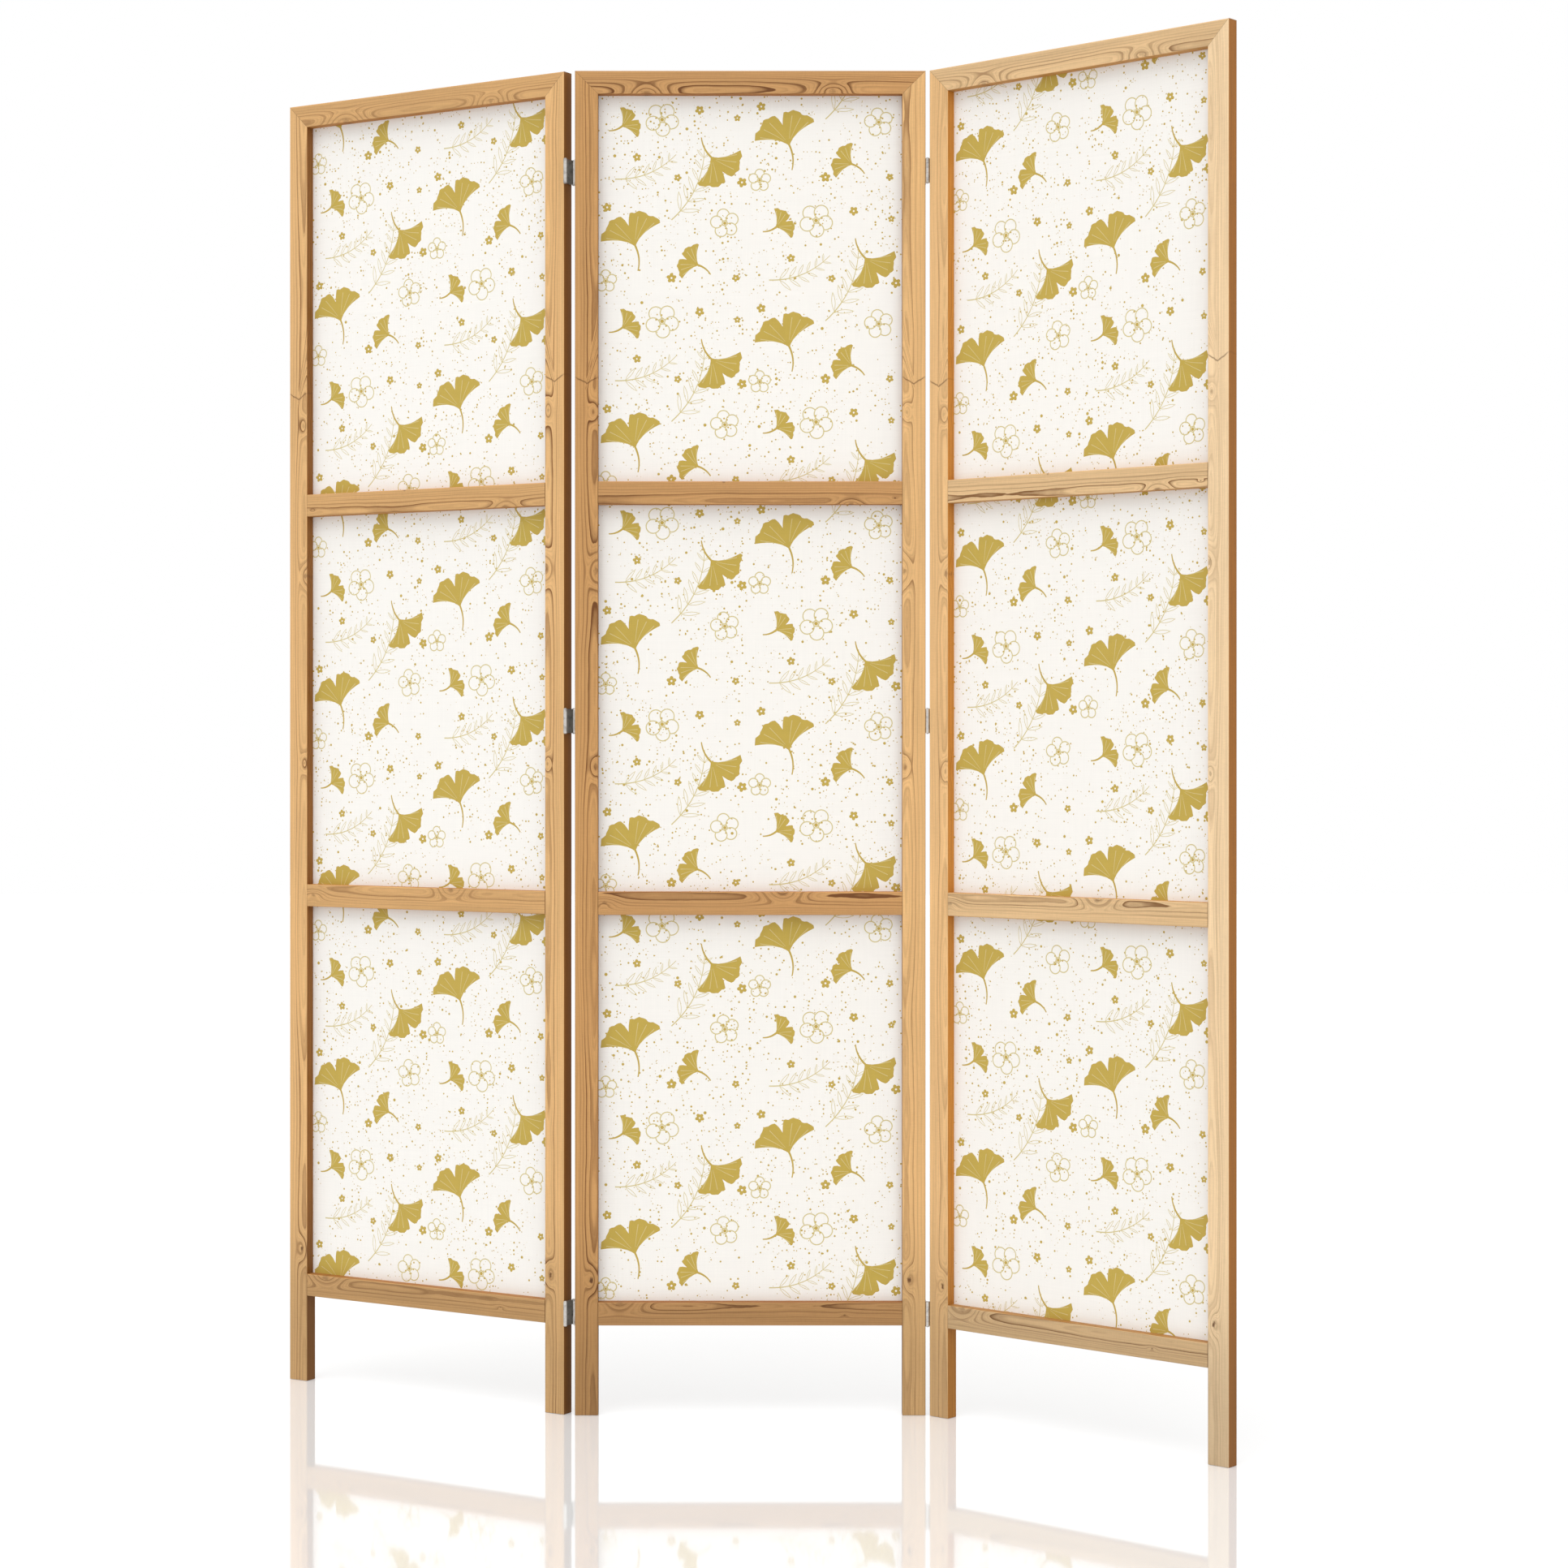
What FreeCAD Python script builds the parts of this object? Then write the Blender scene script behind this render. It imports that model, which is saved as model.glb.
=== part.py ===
import FreeCAD, Part
import math
import os
import Sketcher
from FreeCAD import Placement, Rotation, Vector

# A room screen of three framed fabric panels that stand in a zigzag, in millimetres.
# +Z is up, the front faces -Y, and the origin is the centre of the footprint on the floor.
# Each panel is a pine frame: two stiles that run down into feet, a top rail mitred between
# them, two cross rails and a bottom rail on dowels. The fabric lies in a rebate at the back,
# behind the cross rails, under battens held by brads. Two-way hinges join the panels: each has
# two leaves and a link between them on two pins, one at the front faces and one at the back.

DRIVING_SIZES = {
    # Panel frame
    "panel_height": 1710,
    "panel_width": 446,
    "frame_width": 29.5,
    "frame_depth": 18,
    "foot_height": 114,
    "edge_round": 1.2,
    # Fabric and the battens that hold it
    "rebate_depth": 5,
    "rebate_width": 9,
    "fabric_thickness": 0.6,
    "fabric_overlap": 3,
    "batten_clearance": 0.2,
    # Dowels, brads and screws
    "dowel_diameter": 6,
    "dowel_length": 26,
    "dowel_spacing": 14,
    "dowel_chamfer": 0.8,
    "dowel_cover": 4,
    "brad_diameter": 1.2,
    "brad_length": 11,
    "brad_point": 1.5,
    "brad_margin": 40,
    "brads_per_side": 7,
    "brads_per_end": 3,
    "screw_diameter": 2.4,
    "screw_head_diameter": 4.8,
    "screw_length": 12.5,
    "screw_point": 2.5,
    "screw_spacing": 18,
    "hole_clearance": 0.1,
    "hole_run_out": 0.5,
    # Hinges
    "hinge_height": 31,
    "top_hinge_drop": 127,
    "middle_hinge_height": 883,
    "leaf_thickness": 1.2,
    "leaf_corner": 2,
    "curl_angle": 110,
    "knuckle_gap": 0.25,
    "knuckle_clearance": 0.4,
    "pin_diameter": 2.5,
    "pin_clearance": 0.05,
    "pin_offset": 0.5,
    "pin_head_diameter": 4,
    "pin_head_height": 0.9,
    # Fold of each outer panel out of the middle panel's plane, in degrees
    "left_fold": 31,
    "right_fold": 41,
}

# Sizes that follow from the driving ones. A mitre dowel lies at 45 degrees, and its two ends leave the
# dowel cover of wood to the frame's side and top. Left and right places are those of a panel's foot
# centre while the middle panel stands at zero; the footprint's centre then becomes the origin.
WORKED_OUT_SIZES = {
    "sight_width": "panel_width - 2 * frame_width",
    "field_height": "(panel_height - foot_height - 4 * frame_width) / 3",
    "bottom_rail_centre": "foot_height + frame_width / 2",
    "lower_rail_centre": "bottom_rail_centre + field_height + frame_width",
    "upper_rail_centre": "lower_rail_centre + field_height + frame_width",
    "rebate_floor": "frame_depth / 2 - rebate_depth",
    "rail_axis": "(rebate_floor - frame_depth / 2) / 2",
    "rebate_bottom": "foot_height + frame_width - rebate_width",
    "rebate_top": "panel_height - frame_width + rebate_width",
    "rebate_middle": "(rebate_bottom + rebate_top) / 2",
    "batten_front": "rebate_floor + fabric_thickness",
    "batten_width": "rebate_width - batten_clearance",
    "batten_line": "sight_width / 2 + rebate_width / 2",
    "side_batten_length": "rebate_top - rebate_bottom - 2 * batten_clearance",
    "end_batten_length": "sight_width - 2 * batten_clearance",
    "side_brad_span": "side_batten_length - 2 * brad_margin",
    "end_brad_span": "end_batten_length - 2 * brad_margin",
    "dowel_hole_radius": "dowel_diameter / 2 + hole_clearance",
    "dowel_hole_depth": "dowel_length / 2 + hole_run_out",
    "dowel_reach": "(dowel_length + dowel_diameter - 2 * dowel_chamfer) / (2 * sqrt(2))",
    "mitre_dowel_line": "panel_width / 2 - dowel_cover - dowel_reach",
    "mitre_dowel_height": "panel_height - dowel_cover - dowel_reach",
    "brad_hole_radius": "brad_diameter / 2 + hole_clearance",
    "brad_hole_depth": "brad_length - rebate_depth + hole_run_out",
    "screw_hole_radius": "screw_diameter / 2 + hole_clearance",
    "screw_hole_depth": "screw_length - leaf_thickness + hole_run_out",
    "screw_head_height": "(screw_head_diameter - screw_diameter) / 2",
    "bore_radius": "pin_diameter / 2 + pin_clearance",
    "knuckle_radius": "bore_radius + leaf_thickness",
    "knuckle_height": "(hinge_height - 4 * knuckle_gap) / 5",
    "knuckle_pitch": "knuckle_height + knuckle_gap",
    "notch_half": "knuckle_height / 2 + knuckle_gap",
    "pin_line": "frame_depth / 2 + pin_offset",
    "leaf_edge": "pin_line - sqrt(pow(knuckle_radius + knuckle_clearance; 2) - pow(bore_radius; 2))",
    "web_edge": "pin_line - knuckle_radius - knuckle_clearance",
    "web_half": "leaf_thickness / 2",
    "panel_gap": "2 * knuckle_radius",
    "hinge_line": "(panel_width + panel_gap) / 2",
    "bottom_hinge_height": "bottom_rail_centre",
    "top_hinge_height": "panel_height - top_hinge_drop",
    "left_x": "-hinge_line * (1 + cos(left_fold)) - pin_line * sin(left_fold)",
    "left_y": "hinge_line * sin(left_fold) + pin_line * (1 - cos(left_fold))",
    "right_x": "hinge_line * (1 + cos(right_fold)) + pin_line * sin(right_fold)",
    "right_y": "-hinge_line * sin(right_fold) - pin_line * (1 - cos(right_fold))",
    "corner_x": "panel_width / 2 - edge_round",
    "corner_y": "frame_depth / 2 - edge_round",
    "reach_left": "left_x - corner_x * cos(left_fold) - corner_y * sin(left_fold) - edge_round",
    "reach_back": "left_y + corner_x * sin(left_fold) + corner_y * cos(left_fold) + edge_round",
    "reach_right": "right_x + corner_x * cos(right_fold) + corner_y * sin(right_fold) + edge_round",
    "reach_front": "right_y - corner_x * sin(right_fold) - corner_y * cos(right_fold) - edge_round",
    "footprint_x": "(reach_left + reach_right) / 2",
    "footprint_y": "(reach_front + reach_back) / 2",
}

PANELS = ("left", "middle", "right")
HINGE_LEVELS = ("top", "middle", "bottom")
END_BATTEN_HEIGHTS = (
    "Sizes.rebate_bottom + Sizes.rebate_width / 2",
    "Sizes.rebate_top - Sizes.rebate_width / 2",
)
# Rows of knuckles, counted from the hinge's middle
LEAF_ROWS = (-2, 0, 2)
LINK_ROWS = (-1, 1)

doc = FreeCAD.newDocument("FoldingScreen")
sheet = doc.addObject("Spreadsheet::Sheet", "Sizes")


# Sheet and expressions

def fill_sheet():
    """Writes every size into the sheet, one per row, under its own alias."""
    row = 1
    for name, number in DRIVING_SIZES.items():
        sheet.set(f"A{row}", name)
        sheet.set(f"B{row}", str(number))
        sheet.setAlias(f"B{row}", name)
        row += 1
    for name, formula in WORKED_OUT_SIZES.items():
        sheet.set(f"A{row}", name)
        sheet.set(f"B{row}", f"={formula}")
        sheet.setAlias(f"B{row}", name)
        row += 1
    doc.recompute()


def number(expression):
    """What an expression over the sheet comes to now."""
    return float(sheet.evalExpression(expression))


def signed(side, expression):
    """The expression on the +1 or the -1 side of a centre line."""
    return f"{side} * ({expression})"


# Sketches and features

def origin_feature(body, role):
    return next(feature for feature in body.Origin.OriginFeatures if feature.Role == role)


def add_sketch(body, name, plane, offset="0"):
    """A sketch on one of the body's own planes, moved along that plane's normal."""
    sketch = body.newObject("Sketcher::SketchObject", name)
    sketch.AttachmentSupport = [(origin_feature(body, plane), "")]
    sketch.MapMode = "FlatFace"
    sketch.setExpression("AttachmentOffset.Base.z", offset)
    return sketch


def hold(sketch, constraint, expression):
    index = sketch.addConstraint(constraint)
    sketch.setExpression(f"Constraints[{index}]", expression)


def hold_point(sketch, geometry, end, across, up):
    """Ties a point of the sketch to its two distances from the sketch's origin."""
    hold(sketch, Sketcher.Constraint("DistanceX", -1, 1, geometry, end, number(across)), across)
    hold(sketch, Sketcher.Constraint("DistanceY", -1, 1, geometry, end, number(up)), up)


def add_polygon(sketch, corners):
    """A closed outline of straight lines through corners given as expressions."""
    points = [Vector(number(across), number(up), 0) for across, up in corners]
    lines = []
    for start, end in zip(points, points[1:] + points[:1]):
        lines.append(sketch.addGeometry(Part.LineSegment(start, end)))
    for line, following in zip(lines, lines[1:] + lines[:1]):
        sketch.addConstraint(Sketcher.Constraint("Coincident", line, 2, following, 1))
    for line, (across, up) in zip(lines, corners):
        hold_point(sketch, line, 1, across, up)


def add_rectangle(sketch, left, bottom, right, top):
    add_polygon(sketch, [(left, bottom), (right, bottom), (right, top), (left, top)])


def add_circle(sketch, across, up, radius):
    centre = Vector(number(across), number(up), 0)
    circle = sketch.addGeometry(Part.Circle(centre, Vector(0, 0, 1), number(radius)))
    hold_point(sketch, circle, 3, across, up)
    hold(sketch, Sketcher.Constraint("Radius", circle, number(radius)), radius)


def add_arc(sketch, across, up, radius, start_degrees, end_degrees):
    """An arc, anticlockwise, whose centre and radius are tied; its ends are tied by what meets them."""
    centre = Vector(number(across), number(up), 0)
    circle = Part.Circle(centre, Vector(0, 0, 1), number(radius))
    sweep = Part.ArcOfCircle(circle, math.radians(start_degrees), math.radians(end_degrees))
    arc = sketch.addGeometry(sweep)
    hold_point(sketch, arc, 3, across, up)
    hold(sketch, Sketcher.Constraint("Radius", arc, number(radius)), radius)
    return arc


def add_line(sketch, from_geometry, from_end, to_geometry, to_end):
    """A line that joins the ends of two pieces already in the sketch."""
    start = sketch.getPoint(from_geometry, from_end)
    end = sketch.getPoint(to_geometry, to_end)
    line = sketch.addGeometry(Part.LineSegment(start, end))
    sketch.addConstraint(Sketcher.Constraint("Coincident", line, 1, from_geometry, from_end))
    sketch.addConstraint(Sketcher.Constraint("Coincident", line, 2, to_geometry, to_end))
    return line


def new_body(name):
    return doc.addObject("PartDesign::Body", name)


def add_pad(body, sketch, length, both_ways=False):
    pad = body.newObject("PartDesign::Pad", "Pad")
    pad.Profile = sketch
    pad.SideType = "Symmetric" if both_ways else "One side"
    pad.setExpression("Length", length)
    doc.recompute()
    return pad


def add_pocket(body, sketch, depth=None, along_normal=False, both_ways=False):
    """Cuts the sketch out of the body, to a depth or right through, and makes sure that it cuts."""
    before = body.Shape.Volume
    pocket = body.newObject("PartDesign::Pocket", "Pocket")
    pocket.Profile = sketch
    pocket.Reversed = along_normal
    pocket.SideType = "Symmetric" if both_ways else "One side"
    if depth is None:
        pocket.Type = "ThroughAll"
    else:
        pocket.setExpression("Length", depth)
    doc.recompute()
    if body.Shape.Volume >= before:
        raise RuntimeError(f"{body.Label}: the cut from {sketch.Label} removes nothing")
    return pocket


def add_revolution(body, sketch, axis):
    turned = body.newObject("PartDesign::Revolution", "Revolution")
    turned.Profile = sketch
    turned.ReferenceAxis = (sketch, [axis])
    turned.Angle = 360
    doc.recompute()


def straight_edges(shape, direction, wanted=None):
    """Names of the straight edges along a direction, all or those whose middle is wanted."""
    names = []
    for index, edge in enumerate(shape.Edges, start=1):
        if not isinstance(edge.Curve, Part.Line):
            continue
        along = abs(edge.Curve.Direction.dot(direction)) > 0.999
        if along and (wanted is None or wanted(edge.CenterOfMass)):
            names.append(f"Edge{index}")
    return names


def round_edges(body, feature, edges, radius):
    fillet = body.newObject("PartDesign::Fillet", "Fillet")
    fillet.Base = (feature, edges)
    fillet.setExpression("Radius", radius)
    doc.recompute()


# Holes and rebates that several wooden pieces share

def add_brad_row(body, hole, direction):
    """Repeats a brad hole evenly along a side batten, up Z, or along an end batten, across X."""
    axis = "Z_Axis" if direction == "side" else "X_Axis"
    row = body.newObject("PartDesign::LinearPattern", "BradRow")
    row.Originals = [hole]
    row.Direction = (origin_feature(body, axis), [""])
    row.setExpression("Length", f"Sizes.{direction}_brad_span")
    row.setExpression("Occurrences", f"Sizes.brads_per_{direction}")
    body.Tip = row
    doc.recompute()


def cut_rebate(body, left, bottom, right, top):
    """Cuts the fabric's rebate from the back, down to the rebate floor."""
    sketch = add_sketch(body, "Rebate", "XZ_Plane", "-Sizes.rebate_floor")
    add_rectangle(sketch, left, bottom, right, top)
    add_pocket(body, sketch)


def drill_rail_end(body, side, rail_centres, into_positive_x):
    """Drills the pairs of dowel holes at a joint between stile and rail."""
    sketch = add_sketch(body, "DowelHoles", "YZ_Plane", signed(side, "Sizes.sight_width / 2"))
    for centre in rail_centres:
        for step in (-1, 1):
            height = f"{centre} + {step} * Sizes.dowel_spacing / 2"
            add_circle(sketch, "Sizes.rail_axis", height, "Sizes.dowel_hole_radius")
    add_pocket(body, sketch, "Sizes.dowel_hole_depth", along_normal=into_positive_x)


def drill_mitre(body, side, into_rail):
    """Drills the dowel hole square to the mitre at the panel's top corner."""
    sketch = add_sketch(body, "MitreHole", "XY_Plane", "Sizes.mitre_dowel_height")
    sketch.AttachmentOffset = Placement(Vector(), Rotation(Vector(0, 1, 0), -45 * side))
    sketch.setExpression("AttachmentOffset.Base.x", signed(side, "Sizes.mitre_dowel_line"))
    sketch.setExpression("AttachmentOffset.Base.y", "Sizes.rail_axis")
    add_circle(sketch, "0", "0", "Sizes.dowel_hole_radius")
    add_pocket(body, sketch, "Sizes.dowel_hole_depth", along_normal=into_rail)


def drill_brads(body, direction, across, height):
    """Drills the row of brad holes under a batten into the rebate floor, from the first hole on."""
    sketch = add_sketch(body, "BradHole", "XZ_Plane", "-Sizes.rebate_floor")
    add_circle(sketch, across, height, "Sizes.brad_hole_radius")
    hole = add_pocket(body, sketch, "Sizes.brad_hole_depth", along_normal=True)
    add_brad_row(body, hole, direction)


# Wooden pieces, in the panel's own place: x across from its centre line, z up from the floor

def make_stile(side, hinged):
    """The upright on one side, mitred at the top; a hinged one has the holes for the leaves' screws."""
    body = new_body("Stile")
    inner = signed(side, "Sizes.sight_width / 2")
    outer = signed(side, "Sizes.panel_width / 2")
    section = add_sketch(body, "Section", "XY_Plane")
    add_rectangle(section, inner, "-Sizes.frame_depth / 2", outer, "Sizes.frame_depth / 2")
    pad = add_pad(body, section, "Sizes.panel_height")
    round_edges(body, pad, straight_edges(pad.Shape, Vector(0, 0, 1)), "Sizes.edge_round")

    rebate_edge = signed(side, "Sizes.sight_width / 2 + Sizes.rebate_width")
    cut_rebate(body, inner, "Sizes.rebate_bottom", rebate_edge, "Sizes.rebate_top")

    mitre = add_sketch(body, "Mitre", "XZ_Plane")
    corners = [
        (inner, "Sizes.panel_height - Sizes.frame_width"),
        (outer, "Sizes.panel_height"),
        (inner, "Sizes.panel_height"),
    ]
    add_polygon(mitre, corners)
    add_pocket(body, mitre, both_ways=True)

    rails = ("Sizes.bottom_rail_centre", "Sizes.lower_rail_centre", "Sizes.upper_rail_centre")
    drill_rail_end(body, side, rails, into_positive_x=side > 0)
    drill_mitre(body, side, into_rail=False)

    if hinged:
        holes = add_sketch(body, "ScrewHoles", "YZ_Plane", outer)
        for level in HINGE_LEVELS:
            for step in (-1, 1):
                height = f"Sizes.{level}_hinge_height + {step} * Sizes.screw_spacing / 2"
                add_circle(holes, "0", height, "Sizes.screw_hole_radius")
        add_pocket(body, holes, "Sizes.screw_hole_depth", along_normal=side < 0)

    first_brad = "Sizes.rebate_middle - Sizes.side_brad_span / 2"
    drill_brads(body, "side", signed(side, "Sizes.batten_line"), first_brad)
    return body


def make_top_rail():
    """The rail across the top, mitred to both stiles."""
    body = new_body("TopRail")
    outline = add_sketch(body, "Outline", "XZ_Plane")
    corners = [
        ("-Sizes.panel_width / 2", "Sizes.panel_height"),
        ("-Sizes.sight_width / 2", "Sizes.panel_height - Sizes.frame_width"),
        ("Sizes.sight_width / 2", "Sizes.panel_height - Sizes.frame_width"),
        ("Sizes.panel_width / 2", "Sizes.panel_height"),
    ]
    add_polygon(outline, corners)
    pad = add_pad(body, outline, "Sizes.frame_depth", both_ways=True)
    round_edges(body, pad, straight_edges(pad.Shape, Vector(1, 0, 0)), "Sizes.edge_round")

    rebate_half = "Sizes.sight_width / 2 + Sizes.rebate_width"
    underside = "Sizes.panel_height - Sizes.frame_width"
    cut_rebate(body, f"-({rebate_half})", underside, rebate_half, "Sizes.rebate_top")
    for side in (-1, 1):
        drill_mitre(body, side, into_rail=True)
    brad_height = "Sizes.rebate_top - Sizes.rebate_width / 2"
    drill_brads(body, "end", "-Sizes.end_brad_span / 2", brad_height)
    return body


def make_cross_rail():
    """A rail between the stiles with the fabric behind it, its middle at height zero."""
    body = new_body("CrossRail")
    section = add_sketch(body, "Section", "YZ_Plane")
    half = "Sizes.frame_width / 2"
    add_rectangle(section, "-Sizes.frame_depth / 2", f"-{half}", "Sizes.rebate_floor", half)
    pad = add_pad(body, section, "Sizes.sight_width", both_ways=True)
    front = -number("Sizes.frame_depth / 2")
    edges = straight_edges(pad.Shape, Vector(1, 0, 0), lambda middle: abs(middle.y - front) < 0.01)
    round_edges(body, pad, edges, "Sizes.edge_round")
    for side in (-1, 1):
        drill_rail_end(body, side, ("0",), into_positive_x=side < 0)
    return body


def make_bottom_rail():
    """The rail above the feet, with the rebate's lower end along its back, its middle at height zero."""
    body = new_body("BottomRail")
    section = add_sketch(body, "Section", "YZ_Plane")
    half = "Sizes.frame_width / 2"
    add_rectangle(section, "-Sizes.frame_depth / 2", f"-{half}", "Sizes.frame_depth / 2", half)
    pad = add_pad(body, section, "Sizes.sight_width", both_ways=True)
    round_edges(body, pad, straight_edges(pad.Shape, Vector(1, 0, 0)), "Sizes.edge_round")
    rebate_start = f"{half} - Sizes.rebate_width"
    cut_rebate(body, "-Sizes.sight_width / 2", rebate_start, "Sizes.sight_width / 2", half)
    for side in (-1, 1):
        drill_rail_end(body, side, ("0",), into_positive_x=side < 0)
    brad_height = f"{half} - Sizes.rebate_width / 2"
    drill_brads(body, "end", "-Sizes.end_brad_span / 2", brad_height)
    return body


def make_batten(direction, across, up):
    """A strip that lies on the fabric's edge in the rebate, flush with the frame's back."""
    body = new_body("Batten")
    outline = add_sketch(body, "Outline", "XZ_Plane", "-Sizes.frame_depth / 2")
    add_rectangle(outline, f"-{across} / 2", f"-{up} / 2", f"{across} / 2", f"{up} / 2")
    add_pad(body, outline, "Sizes.frame_depth / 2 - Sizes.batten_front")
    sketch = add_sketch(body, "BradHole", "XZ_Plane")
    start = f"-Sizes.{direction}_brad_span / 2"
    first = ("0", start) if direction == "side" else (start, "0")
    add_circle(sketch, *first, "Sizes.brad_hole_radius")
    hole = add_pocket(body, sketch)
    add_brad_row(body, hole, direction)
    return body


def make_fabric():
    """The cloth of one panel, stretched flat on the rebate floor and the backs of the cross rails."""
    body = new_body("Fabric")
    outline = add_sketch(body, "Outline", "XZ_Plane", "-Sizes.batten_front")
    half = "Sizes.sight_width / 2 + Sizes.fabric_overlap"
    bottom = "Sizes.foot_height + Sizes.frame_width - Sizes.fabric_overlap"
    top = "Sizes.panel_height - Sizes.frame_width + Sizes.fabric_overlap"
    add_rectangle(outline, f"-({half})", bottom, half, top)
    add_pad(body, outline, "Sizes.fabric_thickness")
    return body


# Fasteners, each made once and placed many times

def make_dowel():
    """A dowel along X with chamfered ends, its middle at the origin."""
    body = new_body("Dowel")
    section = add_sketch(body, "Section", "YZ_Plane")
    add_circle(section, "0", "0", "Sizes.dowel_diameter / 2")
    pad = add_pad(body, section, "Sizes.dowel_length", both_ways=True)
    ends = [f"Edge{index}" for index, edge in enumerate(pad.Shape.Edges, start=1) if edge.isClosed()]
    chamfer = body.newObject("PartDesign::Chamfer", "Chamfer")
    chamfer.Base = (pad, ends)
    chamfer.setExpression("Size", "Sizes.dowel_chamfer")
    doc.recompute()
    return body


def make_brad():
    """A headless brad along Y, its blunt end at the origin and its point towards the front."""
    body = new_body("Brad")
    profile = add_sketch(body, "Profile", "XY_Plane")
    radius = "Sizes.brad_diameter / 2"
    corners = [
        ("0", "0"),
        (radius, "0"),
        (radius, "Sizes.brad_point - Sizes.brad_length"),
        ("0", "-Sizes.brad_length"),
    ]
    add_polygon(profile, corners)
    add_revolution(body, profile, "V_Axis")
    return body


def make_screw():
    """A countersunk screw along X, the top of its head at the origin and its point towards -X."""
    body = new_body("Screw")
    profile = add_sketch(body, "Profile", "XY_Plane")
    shank = "Sizes.screw_diameter / 2"
    corners = [
        ("0", "0"),
        ("0", "Sizes.screw_head_diameter / 2"),
        ("-Sizes.screw_head_height", shank),
        ("Sizes.screw_point - Sizes.screw_length", shank),
        ("-Sizes.screw_length", "0"),
    ]
    add_polygon(profile, corners)
    add_revolution(body, profile, "H_Axis")
    return body


# Hinge: x across the gap between the panels, the front pin at -pin_line and the back pin at +pin_line

def make_leaf():
    """A leaf on the -X side of the gap: a plate whose sheet curls round the front pin in three knuckles."""
    body = new_body("Leaf")
    section = add_sketch(body, "Section", "XY_Plane")
    curl_end = number("Sizes.curl_angle") + 360
    outer = add_arc(section, "0", "-Sizes.pin_line", "Sizes.knuckle_radius", 180, curl_end)
    inner = add_arc(section, "0", "-Sizes.pin_line", "Sizes.bore_radius", 180, curl_end)
    for arc, radius in ((outer, "Sizes.knuckle_radius"), (inner, "Sizes.bore_radius")):
        start = Sketcher.Constraint("DistanceY", -1, 1, arc, 1, -number("Sizes.pin_line"))
        hold(section, start, "-Sizes.pin_line")
        end_x = f"{radius} * cos(Sizes.curl_angle)"
        hold(section, Sketcher.Constraint("DistanceX", -1, 1, arc, 2, number(end_x)), end_x)
    add_line(section, outer, 2, inner, 2)

    far_left = Vector(-number("Sizes.knuckle_radius"), number("Sizes.leaf_edge"), 0)
    far_right = Vector(-number("Sizes.bore_radius"), number("Sizes.leaf_edge"), 0)
    far_edge = section.addGeometry(Part.LineSegment(far_left, far_right))
    hold_point(section, far_edge, 1, "-Sizes.knuckle_radius", "Sizes.leaf_edge")
    hold_point(section, far_edge, 2, "-Sizes.bore_radius", "Sizes.leaf_edge")
    add_line(section, far_edge, 1, outer, 1)
    add_line(section, far_edge, 2, inner, 1)
    pad = add_pad(body, section, "Sizes.hinge_height", both_ways=True)

    edge_place = number("Sizes.leaf_edge")
    corners = straight_edges(pad.Shape, Vector(1, 0, 0), lambda middle: abs(middle.y - edge_place) < 0.01)
    round_edges(body, pad, corners, "Sizes.leaf_corner")

    notches = add_sketch(body, "Notches", "YZ_Plane")
    for row in LINK_ROWS:
        low = f"{row} * Sizes.knuckle_pitch - Sizes.notch_half"
        high = f"{row} * Sizes.knuckle_pitch + Sizes.notch_half"
        add_rectangle(notches, "-2 * Sizes.pin_line", low, "-Sizes.leaf_edge", high)
    add_pocket(body, notches, both_ways=True)

    centres = add_sketch(body, "ScrewCentres", "YZ_Plane", "-Sizes.bore_radius")
    for step in (-1, 1):
        add_circle(centres, "0", f"{step} * Sizes.screw_spacing / 2", "Sizes.screw_hole_radius")
    doc.recompute()
    hole = body.newObject("PartDesign::Hole", "ScrewHole")
    hole.Profile = centres
    hole.DepthType = "ThroughAll"
    hole.ThreadType = "None"
    hole.setExpression("Diameter", "2 * Sizes.screw_hole_radius")
    hole.HoleCutType = "Countersink"
    hole.setExpression("HoleCutDiameter", "Sizes.screw_head_diameter + 2 * Sizes.hole_clearance")
    hole.HoleCutCountersinkAngle = 90
    doc.recompute()
    return body


def make_link():
    """The strap between the two pins: a web in the middle of the gap with two eyes on each pin."""
    body = new_body("Link")
    section = add_sketch(body, "Section", "XY_Plane")
    web = math.degrees(math.acos(number("Sizes.web_half / Sizes.knuckle_radius")))
    front = add_arc(section, "0", "-Sizes.pin_line", "Sizes.knuckle_radius", 180 - web, 360 + web)
    back = add_arc(section, "0", "Sizes.pin_line", "Sizes.knuckle_radius", 360 - web, 540 + web)
    for arc, start_side in ((front, -1), (back, 1)):
        for end, side in ((1, start_side), (2, -start_side)):
            place = signed(side, "Sizes.web_half")
            hold(section, Sketcher.Constraint("DistanceX", -1, 1, arc, end, number(place)), place)
    add_line(section, front, 2, back, 1)
    add_line(section, back, 2, front, 1)
    for pin in ("-Sizes.pin_line", "Sizes.pin_line"):
        add_circle(section, "0", pin, "Sizes.bore_radius")
    add_pad(body, section, "Sizes.hinge_height", both_ways=True)

    notches = add_sketch(body, "Notches", "YZ_Plane")
    for row in LEAF_ROWS:
        low = f"{row} * Sizes.knuckle_pitch - Sizes.notch_half"
        high = f"{row} * Sizes.knuckle_pitch + Sizes.notch_half"
        add_rectangle(notches, "-2 * Sizes.pin_line", low, "-Sizes.web_edge", high)
        add_rectangle(notches, "Sizes.web_edge", low, "2 * Sizes.pin_line", high)
    add_pocket(body, notches, both_ways=True)
    return body


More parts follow.
